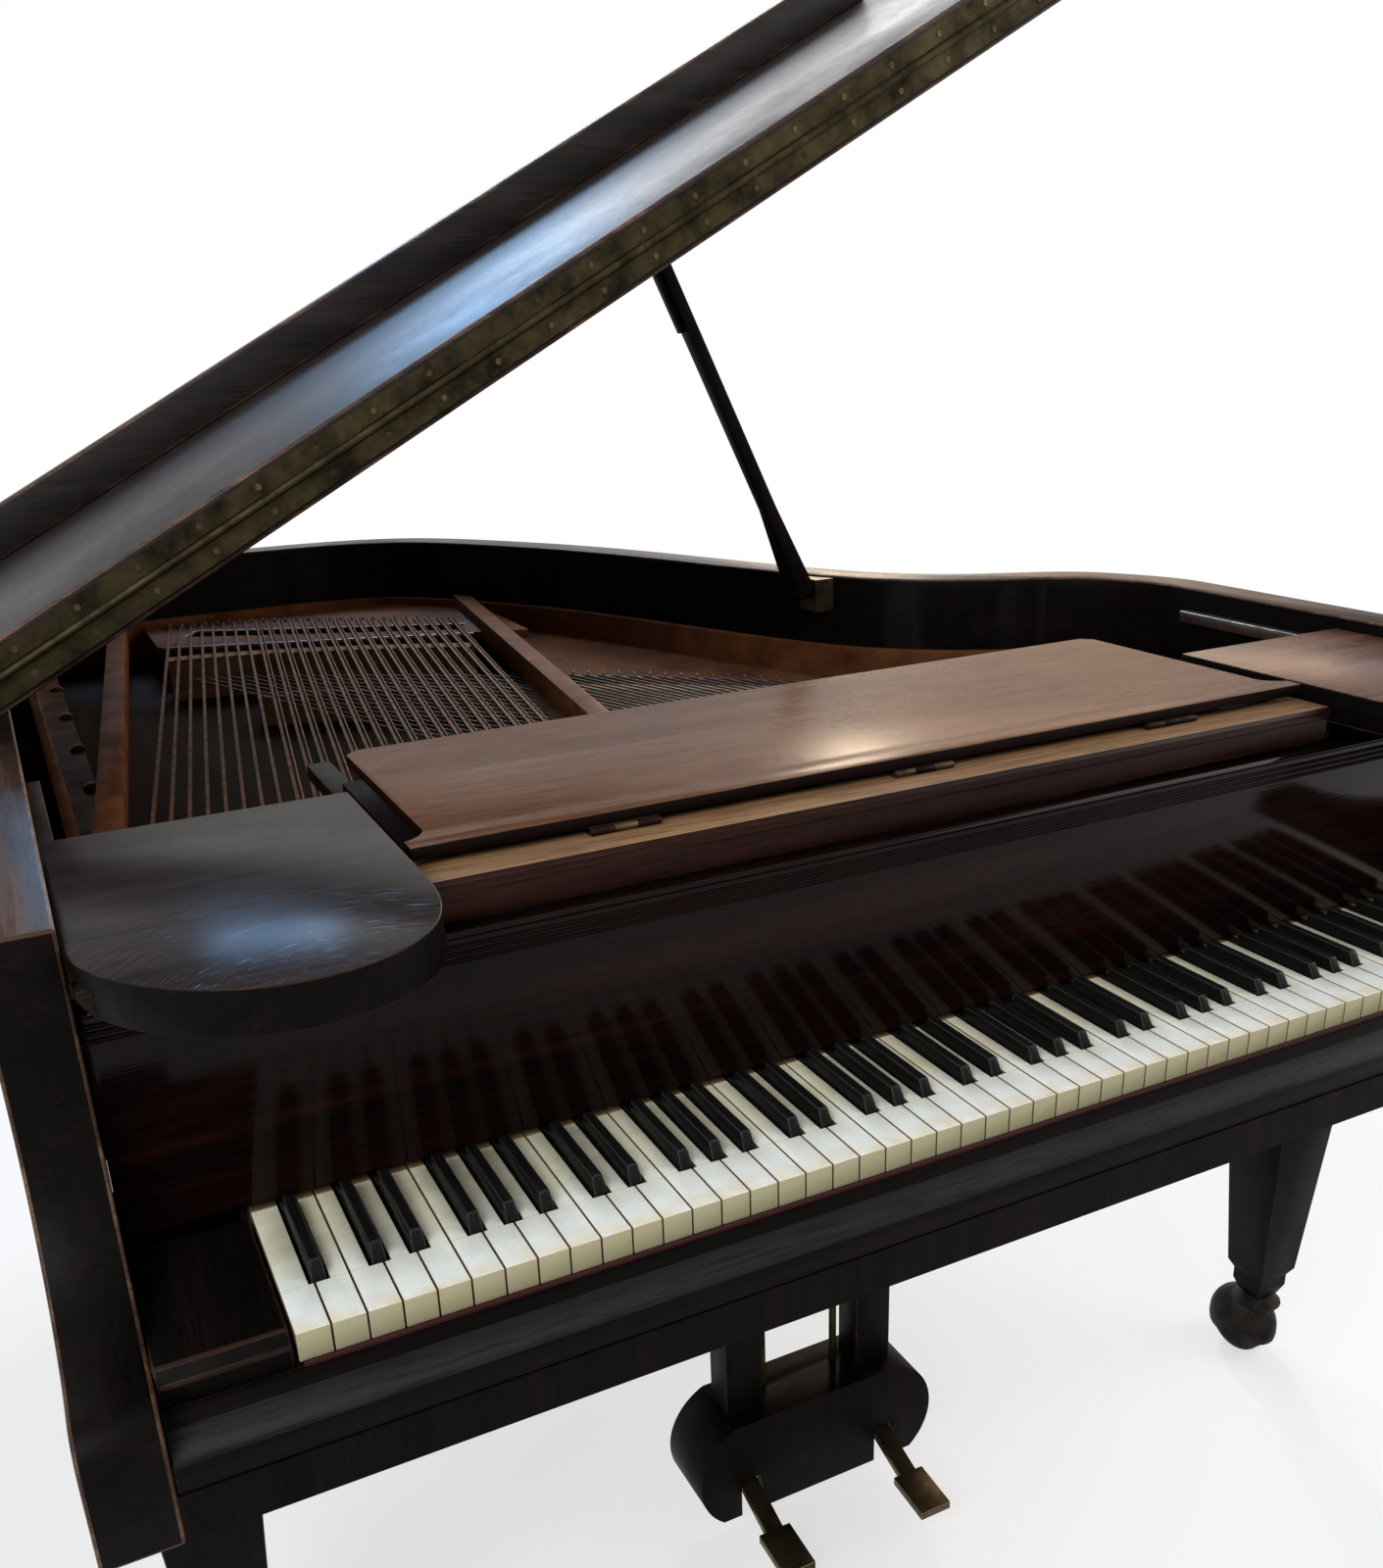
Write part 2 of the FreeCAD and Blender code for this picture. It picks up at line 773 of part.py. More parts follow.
def make_keys():
    naturals = []
    sharps = []
    for key, (note, front_low, tail_low, tail_high) in enumerate(key_layout()):
        if note in NATURAL_NOTES:
            last = key == KEYS - 1
            shape = natural_key(front_low, tail_low, front_low + s.key_pitch if last else tail_high)
            rest = naturals
        else:
            shape = sharp_key(tail_low, tail_high)
            rest = sharps
        if key in FREE_KEYS:
            feature(f"key_{NOTE_WORDS[note]}", shape)
        else:
            rest.append(shape)
    feature("natural_keys", Part.makeCompound(naturals))
    feature("sharp_keys", Part.makeCompound(sharps))
    low = "keybed_thick - case_foot"
    span = f"{NATURALS} * key_pitch"
    under = "case_foot - keybed_thick - natural_thick - seat_gap"
    balance = fuse("balance_rail_rounded", [
        box(
            "balance_rail", f"-{span} / 2", "balance_line - balance_rail / 2", low,
            span, "balance_rail", f"{under} - balance_rod",
        ),
        rod(
            "balance_rod", f"-{span} / 2", "balance_line", "-natural_thick - seat_gap - balance_rod",
            "balance_rod", span, X_AXIS,
        ),
    ])
    rails = [
        balance,
        box("back_rail", f"-{span} / 2", "key_stick - back_rail", low, span, "back_rail", under),
        box("front_rail", f"-{span} / 2", "0", low, span, "front_rail", f"{under} - front_rail_drop"),
    ]
    node(group("key_frame_rails", rails), "key_frame")


# Strings and what they sound through
def string_route(i, count, shares):
    """The two ends of one string in plan."""
    first_start, last_start, first_end, last_end, back, nearer, power = shares
    share = i / (count - 1)
    start_x = s.inner_half * (first_start + (last_start - first_start) * share)
    end_x = s.inner_half * (first_end + (last_end - first_end) * share)
    return V(start_x, s.string_front, 0), V(end_x, tail * (back - nearer * share ** power), 0)


def bass_string(i):
    return string_route(i, BASS_STRINGS, BASS_SHARES)


def treble_string(i):
    return string_route(i, TREBLE_STRINGS, TREBLE_SHARES)


def string_group(count, route, wide, level):
    return Part.makeCompound([bar(*route(i), wide, level, level + wide) for i in range(count)])


def bridge(route, count, at_share, level):
    """A bar under a run of strings, along the line that crosses each at a share of its length."""
    line = []
    for i in range(0, count, HITCH_STEPS):
        start, end = route(i)
        line.append(start + (end - start) * at_share)
    curve = Part.BSplineCurve()
    curve.interpolate(line)
    sides = []
    for offset in (-s.bridge_width / 2, s.bridge_width / 2):
        points = []
        for i in range(BRIDGE_STEPS + 1):
            at = curve.FirstParameter + (curve.LastParameter - curve.FirstParameter) * i / BRIDGE_STEPS
            along = V(*curve.tangent(at)[0]).normalize()
            points.append(curve.value(at) + V(-along.y, along.x, 0) * offset)
        side = Part.BSplineCurve()
        side.interpolate(points)
        sides.append(side)
    starts = [side.value(side.FirstParameter) for side in sides]
    ends = [side.value(side.LastParameter) for side in sides]
    edges = [sides[0].toShape(), Part.makeLine(*ends), sides[1].toShape(), Part.makeLine(*starts)]
    face = Part.Face(Part.Wire(Part.__sortEdges__(edges)))
    low = s.liner_top + s.board_thick
    face.translate(V(0, 0, low))
    return face.extrude(V(0, 0, level - s.seat_gap - low))


def plate_hitch():
    """Places along the line where the treble strings end."""
    return [treble_string(i)[1] for i in range(TREBLE_HITCH_FROM, TREBLE_STRINGS, HITCH_STEPS)]


def plate_ground(edge, low, high):
    """Pin field and band along the rim, with the window for the strings cut out of it."""
    front = s.fall_front + s.fall_thick + s.stretcher_gap + s.stretcher_thick + s.seat_gap
    outer = case_solid(edge, front, low, high)
    window = case_solid(edge + s.plate_ledge, s.block_back, low - s.overrun, high + s.overrun)
    hitch = plate_hitch()
    inner_strut_end = V(STRUT_SHARES[1][1] * s.inner_half, tail, 0)
    plan = [V(-outer_half, s.block_back, 0), V(hitch[-1].x + s.bridge_width, s.block_back, 0)]
    plan += [place - Y_AXIS * s.plate_lip for place in reversed(hitch)]
    plan += [inner_strut_end, V(-outer_half, tail, 0)]
    return outer.cut(window.common(prism(plan, low - s.overrun, high + s.overrun)))


def plate_edges(edge, low, high):
    """Foot of the band on the soundboard's edge, and the lip that stands on the band."""
    foot = case_solid(edge, s.belly_front, s.liner_top + s.board_thick, low)
    foot = foot.cut(case_solid(edge + s.liner_width / 2, s.block_back, s.liner_top, high))
    lip = case_solid(edge, s.block_back, high, s.plate_lip_top)
    lip_inside = edge + s.plate_lip
    hollow = case_solid(lip_inside, s.block_back - s.overrun, high - s.overrun, s.plate_lip_top + s.overrun)
    return [foot, lip.cut(hollow)]


def plate_struts(edge, high):
    """Struts over the strings, each with a foot on the pin field and on the band."""
    front = s.block_back - s.strut_foot
    inside = case_solid(edge + s.plate_lip / 2, front, high, s.strut_top)
    over_strings = case_solid(
        edge + s.plate_ledge, s.string_front - s.agraffe_bar, high - s.overrun, s.strut_low + s.overrun)
    pieces = []
    for front_share, back_share in STRUT_SHARES:
        start = V(front_share * s.inner_half, front, 0)
        end = V(back_share * s.inner_half, tail, 0)
        pieces.append(bar(start, end, s.strut_width, s.strut_low, s.strut_top).common(inside))
        pieces.append(bar(start, end, s.strut_width, high, s.strut_low).common(inside).cut(over_strings))
    return pieces


def plate_bass_web(edge, low, high):
    """Web under the ends of the bass strings, with a long slot, on a foot."""
    web_low = s.bass_level - s.seat_gap - s.hitch_web
    first = bass_string(0)[1]
    last = bass_string(BASS_STRINGS - 1)[1]
    left = first - X_AXIS * s.plate_band / 2
    right = last + X_AXIS * s.plate_band
    ahead = Y_AXIS * s.plate_band * WEB_AHEAD_SHARE
    behind = Y_AXIS * s.plate_band * WEB_BEHIND_SHARE
    plan = [left - ahead, right - ahead, right + behind, left + behind]
    shelf = prism(plan, web_low, web_low + s.hitch_web)
    slot_back = Y_AXIS * s.plate_band * WEB_SLOT_SHARE
    slot = bar(
        first - slot_back + X_AXIS * s.plate_band / 4, last - slot_back,
        s.plate_band * WEB_SLOT_WIDE_SHARE, web_low - s.overrun, s.bass_level + s.overrun,
    )
    web = shelf.common(case_solid(edge + s.plate_lip / 2, s.block_back, high, s.strut_top)).cut(slot)
    foot_front = Y_AXIS * s.plate_band * WEB_FOOT_SHARE
    foot = prism([first + foot_front, last + foot_front, last + behind, first + behind], low, web_low)
    return [web, foot.common(case_solid(edge + s.plate_lip / 2, s.block_back, low, web_low))]


def plate_string_bars(low):
    """Bars under the strings at the agraffes and along the treble hitch line."""
    pieces = []
    widen = X_AXIS * s.bridge_width / 2
    runs = ((bass_string, BASS_STRINGS, s.bass_level), (treble_string, TREBLE_STRINGS, s.treble_level))
    for route, count, level in runs:
        ends = []
        for i in (0, count - 1):
            start, end = route(i)
            ends.append(start + (end - start) * ((s.agraffe_line - start.y) / (end.y - start.y)))
        pieces.append(bar(ends[0] - widen, ends[1] + widen, s.agraffe_bar, low, level - s.seat_gap))
    hitch = plate_hitch()
    for near, far in zip(hitch, hitch[1:]):
        pieces.append(bar(near, far, s.plate_lip, low, s.treble_level - s.seat_gap))
    return pieces


def make_plate():
    """Iron frame: pin field, band along the rim with a lip, struts, bass web and string bars."""
    edge = s.rim_wall + s.plate_gap
    low = s.block_top
    high = low + s.plate_thick
    body = plate_ground(edge, low, high)
    body = body.fuse(plate_edges(edge, low, high))
    body = body.fuse(plate_struts(edge, high))
    body = body.fuse(plate_bass_web(edge, low, high))
    for piece in plate_string_bars(high - s.plate_thick / 2):
        body = body.fuse(piece)
    return body.removeSplitter()


def make_sounding_parts():
    low = s.liner_top
    feature("soundboard", case_solid(s.rim_wall + s.board_gap, s.belly_front, low, low + s.board_thick))
    pin_block = box(
        "pin_block_plank", "-inner_half", "fall_front + fall_thick + stretcher_gap + stretcher_thick",
        "block_top - block_thick", "2 * inner_half",
        "block_back - fall_front - fall_thick - stretcher_gap - stretcher_thick", "block_thick",
    )
    node(pin_block, "pin_block")
    feature("bridges", Part.makeCompound([
        bridge(bass_string, BASS_STRINGS, BASS_BRIDGE_SHARE, s.bass_level),
        bridge(treble_string, TREBLE_BRIDGED, TREBLE_BRIDGE_SHARE, s.treble_level),
    ]))
    feature("plate", make_plate())
    feature("bass_strings", string_group(BASS_STRINGS, bass_string, s.bass_string_width, s.bass_level))
    feature("treble_strings", string_group(TREBLE_STRINGS, treble_string, s.string_width, s.treble_level))


def note_x(key, line):
    """Where a note's string crosses a line across the case."""
    if key < BASS_STRINGS:
        start, end = bass_string(key)
    else:
        start, end = treble_string(key - BASS_STRINGS)
    return start.x + (end.x - start.x) * (line - start.y) / (end.y - start.y)


def make_action():
    """Hammers on their rail, which stands on the keybed behind the keys."""
    rail_front = s.key_stick + s.block_gap
    rail_low = s.action_rail_low
    pieces = [block(
        V(-keyboard_half, rail_front, rail_low),
        V(keyboard_half, rail_front + s.action_rail, rail_low + s.action_rail),
    )]
    for share in ACTION_POST_SHARES:
        x = share * keyboard_half
        post_high = V(x + s.action_rail, rail_front + s.action_rail, rail_low)
        pieces.append(block(V(x, rail_front, bed_top), post_high))
    shank_low = rail_low + (s.action_rail - s.hammer_shank) / 2
    for key in range(KEYS):
        x = note_x(key, s.hammer_line)
        head_low = s.hammer_top - s.hammer_tall
        low_x = max(x - s.hammer_width / 2, -keyboard_half)
        pieces.append(block(
            V(low_x, s.hammer_line, shank_low),
            V(low_x + s.hammer_width, s.hammer_line + s.hammer_head, s.hammer_top),
        ))
        pieces.append(block(
            V(low_x + s.hammer_shank / 2, rail_front + s.action_rail, shank_low),
            V(low_x + s.hammer_shank / 2 + s.hammer_shank, s.hammer_line, shank_low + s.hammer_shank),
        ))
    feature("hammer_action", Part.makeCompound(pieces))


def make_dampers():
    """Damper heads on the strings, with wires down to one lifting tray."""
    line = s.damper_line
    tray_low = s.damper_tray_low
    tray_top = tray_low + s.damper_tray
    pieces = [block(
        V(-keyboard_half, line, tray_low),
        V(keyboard_half, line + s.damper_depth, tray_top),
    )]
    for key in range(DAMPED_NOTES):
        bass = key < BASS_STRINGS
        level = s.bass_level + s.bass_string_width if bass else s.treble_level + s.string_width
        x = note_x(key, line + s.damper_depth / 2)
        low = level + s.seat_gap
        head = block(
            V(x - s.damper_width / 2, line, low),
            V(x + s.damper_width / 2, line + s.damper_depth, low + s.damper_tall),
        )
        wire_x = x + s.damper_width / 2 - s.damper_wire
        wire = block(
            V(wire_x, line + s.damper_depth / 2, tray_top),
            V(wire_x + s.damper_wire, line + s.damper_depth / 2 + s.damper_wire, low),
        )
        pieces += [head, wire]
    feature("dampers", Part.makeCompound(pieces))


# Hinges
def hinge(length, knuckles, barrel, pin, leaf, thick):
    """Two leaves about the X axis, one hanging down and one standing up, on faces at Y = barrel."""
    step = length / knuckles
    gap = s.hinge_gap
    low = V(-length / 2, barrel - thick, -leaf)
    fixed = [block(low, V(length / 2, barrel, -barrel - gap))]
    moving = [block(V(-length / 2, barrel - thick, barrel + gap), V(length / 2, barrel, leaf))]
    for i in range(knuckles):
        start = -length / 2 + i * step + gap / 2
        end = start + step - gap
        tube = Part.makeCylinder(barrel, end - start, V(start, 0, 0), X_AXIS)
        if i % 2 == 0:
            fixed.append(tube)
            fixed.append(block(V(start, barrel - thick, -barrel - gap), V(end, barrel, 0)))
        else:
            moving.append(tube)
            moving.append(block(V(start, barrel - thick, 0), V(end, barrel, barrel + gap)))
    whole = V(-length / 2, 0, 0)
    bore = Part.makeCylinder(pin + s.pin_clear, length, whole, X_AXIS)
    fixed_leaf = fixed[0].fuse(fixed[1:]).fuse(Part.makeCylinder(pin, length, whole, X_AXIS))
    moving_leaf = moving[0].fuse(moving[1:]).cut(bore)
    return fixed_leaf.removeSplitter(), moving_leaf.removeSplitter()


def moved(shape, turn, to):
    return shape.transformed(FreeCAD.Placement(to, turn).toMatrix(), copy=True)


# Lid
def make_lid():
    fold = s.fold_line
    edge = fold + s.fold_barrel
    main = case_solid(0, edge, lid_low, lid_top)
    feature("lid_main", main, LID_TURN, lid_axis)
    flap = block(
        V(-outer_half, s.flap_front, lid_low),
        V(outer_half, fold - s.fold_barrel, lid_top),
    )
    rail_half = s.inner_half - s.rail_end_gap
    rail = block(
        V(-rail_half, s.flap_front, lid_low - s.rail_height),
        V(rail_half, s.flap_front + s.rail_thick, lid_low),
    )
    over = FreeCAD.Placement(V(), FreeCAD.Rotation(X_AXIS, 180), fold_axis)
    folded = Part.makeCompound([flap, rail]).transformed(over.toMatrix(), copy=True)
    feature("lid_flap", folded, LID_TURN, lid_axis)
    length = 2 * (outer_half - s.fold_hinge_inset)
    fixed, moving = hinge(length, FOLD_KNUCKLES, s.fold_barrel, s.fold_pin, s.fold_leaf, s.fold_leaf_thick)
    feature("fold_hinge_lid_leaf", moved(fixed, FreeCAD.Rotation(), fold_axis), LID_TURN, lid_axis)
    feature("fold_hinge_flap_leaf", moved(moving, FreeCAD.Rotation(), fold_axis), LID_TURN, lid_axis)
    fixed, moving = hinge(
        s.lid_hinge_length, SHORT_HINGE_KNUCKLES, s.lid_barrel, s.lid_pin, s.lid_leaf, s.lid_leaf_thick)
    sideways = FreeCAD.Rotation(Z_AXIS, -90)
    low = []
    high = []
    for share in LID_HINGES_SHARES:
        at = V(lid_axis.x, fold + share * (tail - s.tail_round - fold), lid_axis.z)
        low.append(moved(fixed, sideways, at))
        high.append(moved(moving, sideways, at))
    feature("lid_hinge_rim_leaves", Part.makeCompound(low))
    feature("lid_hinge_lid_leaves", Part.makeCompound(high), LID_TURN, lid_axis)


# Prop stick
def make_prop():
    """Leaning stick with a flared foot, a short second stick folded on it, and its bracket on the rim."""
    foot = V(inner_wall_x(s.prop_line) - s.prop_rim_gap, s.prop_line, s.prop_foot_z)
    lean = math.radians(s.prop_lean)
    opened = math.radians(s.lid_open)
    up = V(-math.sin(lean), 0, math.cos(lean))
    right = V(math.cos(lean), 0, math.sin(lean))
    lid_normal = V(-math.sin(opened), 0, math.cos(opened))
    under_lid = V(lid_axis.x, foot.y, lid_axis.z) + lid_normal * (lid_low - lid_axis.z - s.prop_head_gap)
    half_wide = s.prop_width / 2
    half_thick = s.prop_thick / 2

    def below_lid(aside):
        start = foot + right * aside
        return start + up * ((under_lid - start).dot(lid_normal) / up.dot(lid_normal))

    def strip(corners, wide):
        start = [p - Y_AXIS * wide / 2 for p in corners]
        return Part.Face(Part.makePolygon(start + start[:1])).extrude(Y_AXIS * wide)

    def level(middle, left, wide):
        corners = [middle - right * left - Y_AXIS * wide, middle + right * half_thick - Y_AXIS * wide]
        corners += [middle + right * half_thick + Y_AXIS * wide, middle - right * left + Y_AXIS * wide]
        return Part.makePolygon(corners + corners[:1])

    across = right * half_thick
    stick = strip([foot - across, foot + across, below_lid(half_thick), below_lid(-half_thick)], s.prop_width)
    flare = Part.makeLoft([
        level(foot, half_thick + s.prop_flare, half_wide + s.prop_flare_wide),
        level(foot + up * s.prop_flare_rise, half_thick, half_wide),
    ], True, True)
    knuckle = Part.makeCylinder(s.prop_knuckle, s.prop_thick, foot - X_AXIS * half_thick, X_AXIS)
    through = s.prop_thick + s.prop_flare
    bore = Part.makeCylinder(s.prop_pin + s.pin_clear, 2 * through, foot - X_AXIS * through, X_AXIS)
    whole = stick.fuse([flare, knuckle]).cut(bore).removeSplitter()
    short_top = below_lid(-half_thick) - up * s.short_prop_drop
    short_low = short_top - up * s.short_prop_length
    outward = right * -s.short_prop_thick
    short = strip([short_low, short_top, short_top + outward, short_low + outward], s.short_prop_width)
    barrel_end = short_top + outward - Y_AXIS * s.short_prop_width / 2
    barrel = Part.makeCylinder(s.short_prop_barrel, s.short_prop_width, barrel_end, Y_AXIS)
    barrel = barrel.cut(stick)
    feature("prop_stick", Part.makeCompound([whole, short.fuse(barrel).removeSplitter()]))

    room = case_solid(s.rim_wall, s.fold_line, s.prop_foot_z - s.bracket_height, s.rim_top)
    near = foot.x + half_thick + s.hinge_gap
    high = min(foot.z + s.bracket_height / 4, s.rim_top)
    plate = block(
        V(near, foot.y - s.bracket_length / 2, foot.z - s.bracket_height / 2),
        V(near + s.prop_rim_gap, foot.y + s.bracket_length / 2, high),
    ).common(room)
    pin = Part.makeCylinder(s.prop_pin, s.prop_thick + s.hinge_gap * 2, foot - X_AXIS * half_thick, X_AXIS)
    feature("prop_bracket", plate.fuse(pin).removeSplitter())


# Music desk and side shelves
def make_desk():
    ledge = profile(
        "ledge_board", "YZ_Plane",
        [
            ("ledge_front + ledge_bead / 2", "ledge_top - ledge_thick"),
            ("ledge_front + ledge_bead / 2", "ledge_top - 2 * ledge_bead"),
            ("ledge_front", "ledge_top - 1.6 * ledge_bead"),
            ("ledge_front", "ledge_top - ledge_bead / 2"),
            ("ledge_front + ledge_bead / 2", "ledge_top"),
            ("ledge_front + ledge_depth", "ledge_top"),
            ("ledge_front + ledge_depth", "ledge_top - ledge_thick"),
        ],
        "2 * ledge_half",
    )
    tray_low = "ledge_top - ledge_thick"
    tray_front = "ledge_front + ledge_depth"
    tray_wide = "2 * tray_half"
    tray_outer = box("tray_outer", "-tray_half", tray_front, tray_low, tray_wide, "tray_depth", "tray_thick")
    tray_window = box(
        "tray_window", "-tray_half + tray_bar", f"{tray_front} + tray_bar", f"{tray_low} - overrun",
        "2 * (tray_half - tray_bar)", "tray_depth - 2 * tray_bar", "tray_thick + 2 * overrun",
    )
    node(cut("tray_frame", tray_outer, tray_window), "desk_tray")
    low = s.ledge_top + 2 * s.desk_barrel
    ear = s.panel_ear_half
    body = s.panel_body_half
    front = s.panel_front + s.desk_barrel
    step = front + s.panel_ear
    notch = s.panel_notch
    slant = notch * math.sqrt(0.5)
    right = [
        V(ear, front, low),
        V(ear, step - notch, low),
        V(body, step + notch / 3, low),
        V(body, s.panel_back - s.panel_corner, low),
        V(body - s.panel_corner, s.panel_back, low),
    ]
    left = [V(-p.x, p.y, p.z) for p in reversed(right)]
    hollow = V(body + notch - slant / 2, step - notch + slant / 2, low)
    mirrored = V(-hollow.x, hollow.y, hollow.z)
    edges = [
        Part.makeLine(right[0], right[1]),
        Part.Arc(right[1], hollow, right[2]).toShape(),
        Part.makeLine(right[2], right[3]),
        Part.makeLine(right[3], right[4]),
        Part.makeLine(right[4], left[0]),
        Part.makeLine(left[0], left[1]),
        Part.makeLine(left[1], left[2]),
        Part.Arc(left[2], mirrored, left[3]).toShape(),
        Part.makeLine(left[3], left[4]),
        Part.makeLine(left[4], right[0]),
    ]
    panel = Part.Face(Part.Wire(edges)).extrude(V(0, 0, s.panel_thick))
    fixed, moving = hinge(
        s.desk_hinge_length, SHORT_HINGE_KNUCKLES, s.desk_barrel, s.desk_pin, s.desk_leaf, s.desk_leaf_thick)
    flat = FreeCAD.Rotation(-X_AXIS, V(0, 0, -1), -Y_AXIS, "XYZ")
    closed = FreeCAD.Rotation(X_AXIS, 180)
    axis_y = s.panel_front
    axis_z = s.ledge_top + s.desk_barrel
    lower = []
    upper = [panel]
    for share in DESK_HINGES_SHARES:
        at = V(share * s.ledge_half, axis_y, axis_z)
        lower.append(moved(fixed, flat, at))
        upper.append(moved(moved(moving, closed, V()), flat, at))
    feature("desk_panel", Part.makeCompound(upper))
    leaves = shaped("desk_hinge_leaves", Part.makeCompound(lower))
    node(group("ledge_with_leaves", [ledge, leaves]), "music_ledge")
    runner_low = "ledge_top - ledge_thick - runner_thick"
    start = "fall_front + fall_thick + stretcher_gap"
    pieces = []
    for side, x in (("left", "-tray_half"), ("right", "tray_half - runner_width")):
        pieces.append(box(
            f"runner_{side}", x, start, runner_low,
            "runner_width", f"runner_reach - ({start})", "runner_thick",
        ))
        pieces.append(box(
            f"runner_post_{side}", x, "block_back - runner_post - strut_foot", "block_top + plate_thick",
            "runner_width", "runner_post", f"{runner_low} - block_top - plate_thick",
        ))
    return pieces


def shelf_shape(sign):
    """One side shelf with a round front and a groove for its slide."""
    outer = s.inner_half - s.shelf_outer_gap
    inner = s.shelf_inner
    low = s.shelf_top - s.shelf_thick
    points = [V(sign * inner, s.shelf_back, low), V(sign * inner, s.shelf_shoulder, low)]
    for across, along in SHELF_FRONT_SHARES:
        y = s.shelf_front + (s.shelf_shoulder - s.shelf_front) * along
        points.append(V(sign * (inner + (outer - inner) * across), y, low))
    points += [V(sign * outer, s.shelf_shoulder, low), V(sign * outer, s.shelf_back, low)]
    front = Part.BSplineCurve()
    front.interpolate(Points=points[1:-1], InitialTangent=-Y_AXIS, FinalTangent=Y_AXIS, Scale=False)
    edges = [
        Part.makeLine(points[0], points[1]),
        front.toShape(),
        Part.makeLine(points[-2], points[-1]),
        Part.makeLine(points[-1], points[0]),
    ]
    solid = Part.Face(Part.Wire(edges)).extrude(V(0, 0, s.shelf_thick))
    gap = s.slide_gap
    slide_top = s.shelf_top - s.slide_drop + gap
    groove_floor = slide_top - s.slide_thick - 2 * gap
    groove_low = V(s.inner_half - s.slide_width - gap, s.shelf_front - s.overrun, groove_floor)
    groove_high = V(s.inner_half + s.overrun, s.shelf_back + s.overrun, slide_top)
    if sign < 0:
        groove_low.x, groove_high.x = -groove_high.x, -groove_low.x
    return solid.cut(block(groove_low, groove_high))


def make_shelves(runners):
    for side, sign in (("left", -1), ("right", 1)):
        feature(f"shelf_{side}", shelf_shape(sign))
    slides = [
        box(f"shelf_slide_{side}", x, "slide_front", "shelf_top - slide_drop - slide_thick",
            "slide_width", "slide_back - slide_front", "slide_thick")
        for side, x in (("left", "-inner_half"), ("right", "inner_half - slide_width"))
    ]
    node(group("runner_bars", runners + slides), "slide_runners")


# Legs and casters
def square(x, y, wide, z):
    """A level square outline about a leg's middle."""
    half = wide / 2
    corners = [V(x - half, y - half, z), V(x + half, y - half, z)]
    corners += [V(x + half, y + half, z), V(x - half, y + half, z)]
    return Part.makePolygon(corners + corners[:1])


def make_leg(label, x, y):
    """Tapered square shaft, a chamfer to a square neck, and a taper to the caster's socket."""
    foot = s.caster_room - s.key_height
    neck_low = foot + s.leg_taper_rise
    neck_top = neck_low + s.leg_neck_rise
    levels = (
        (s.leg_top, -s.case_foot),
        (s.leg_foot, neck_top + s.leg_chamfer_rise),
        (s.leg_neck, neck_top),
        (s.leg_neck, neck_low),
        (s.leg_waist, foot),
    )
    squares = [square(x, y, wide, z) for wide, z in levels]
    shape = Part.makeLoft(squares, True, True)
    hole = Part.makeCylinder(s.caster_stem + s.pin_clear, s.caster_stem_rise + s.seat_gap, V(x, y, foot))
    feature(label, shape.cut(hole).removeSplitter())


def make_caster(side, x, y):
    floor = -s.key_height
    axle_y = y + s.caster_trail
    axle_z = floor + s.wheel_radius
    hood_top = floor + s.caster_room - s.seat_gap
    inner = s.wheel_width / 2 + s.wheel_gap
    outer = inner + s.caster_cheek
    stem = Part.makeCylinder(s.caster_stem, s.caster_stem_rise, V(x, y, hood_top))
    hood_low = hood_top - s.caster_hood_rise
    hood = Part.makeCone(s.caster_hood, s.caster_stem * 2, s.caster_hood_rise, V(x, y, hood_low))
    parts = [hood]
    for low, high in ((-outer, -inner), (inner, outer)):
        end = s.axle_radius * 2
        outline = [(y - s.caster_hood / 2, hood_low), (y + s.caster_hood / 2, hood_low)]
        outline += [(axle_y + end, axle_z), (axle_y, axle_z - end), (axle_y - end, axle_z)]
        cheek = prism(outline, low, high)
        cheek.rotate(V(), V(1, 1, 1), 120)
        cheek.translate(V(x, 0, 0))
        parts.append(cheek)
    axle = Part.makeCylinder(s.axle_radius, 2 * outer, V(x - outer, axle_y, axle_z), X_AXIS)
    parts.append(axle)
    feature(f"caster_fork_{side}", stem.fuse(parts).removeSplitter())
    wheel = Part.makeCylinder(s.wheel_radius, s.wheel_width, V(x - s.wheel_width / 2, axle_y, axle_z), X_AXIS)
    rims = [e for e in wheel.Edges if e.Curve.TypeId == "Part::GeomCircle"]
    wheel = wheel.makeFillet(s.wheel_round, rims)
    bore = Part.makeCylinder(s.axle_radius + s.pin_clear, 2 * outer, V(x - outer, axle_y, axle_z), X_AXIS)
    feature(f"caster_wheel_{side}", wheel.cut(bore))


def make_stand():
    places = (
        ("front_left", -s.leg_x, s.leg_y),
        ("front_right", s.leg_x, s.leg_y),
        ("rear", s.rear_leg_x, s.rear_leg_y),
    )
    for side, x, y in places:
        make_leg(f"leg_{side}", x, y)
        make_caster(side, x, y)


# Lyre and pedals
def make_lyre():
    posts = [box(
        "lyre_head",
        "-lyre_post_x - lyre_post_wide", "lyre_y - lyre_post_deep", "-case_foot - lyre_head_tall",
        "2 * (lyre_post_x + lyre_post_wide)", "2 * lyre_post_deep", "lyre_head_tall",
    )]
    for side, sign in (("left", -1), ("right", 1)):
        posts.append(box(
            f"lyre_post_{side}",
            f"{sign} * lyre_post_x - lyre_post_wide / 2", "lyre_y - lyre_post_deep / 2", "-lyre_box_top",
            "lyre_post_wide", "lyre_post_deep", "lyre_box_top - case_foot - lyre_head_tall",
        ))
    node(group("lyre_upper", posts + [make_braces()]), "lyre_posts")
    make_lyre_box()
    for side, sign in (("left", -1), ("right", 1)):
        make_pedal(side, sign)


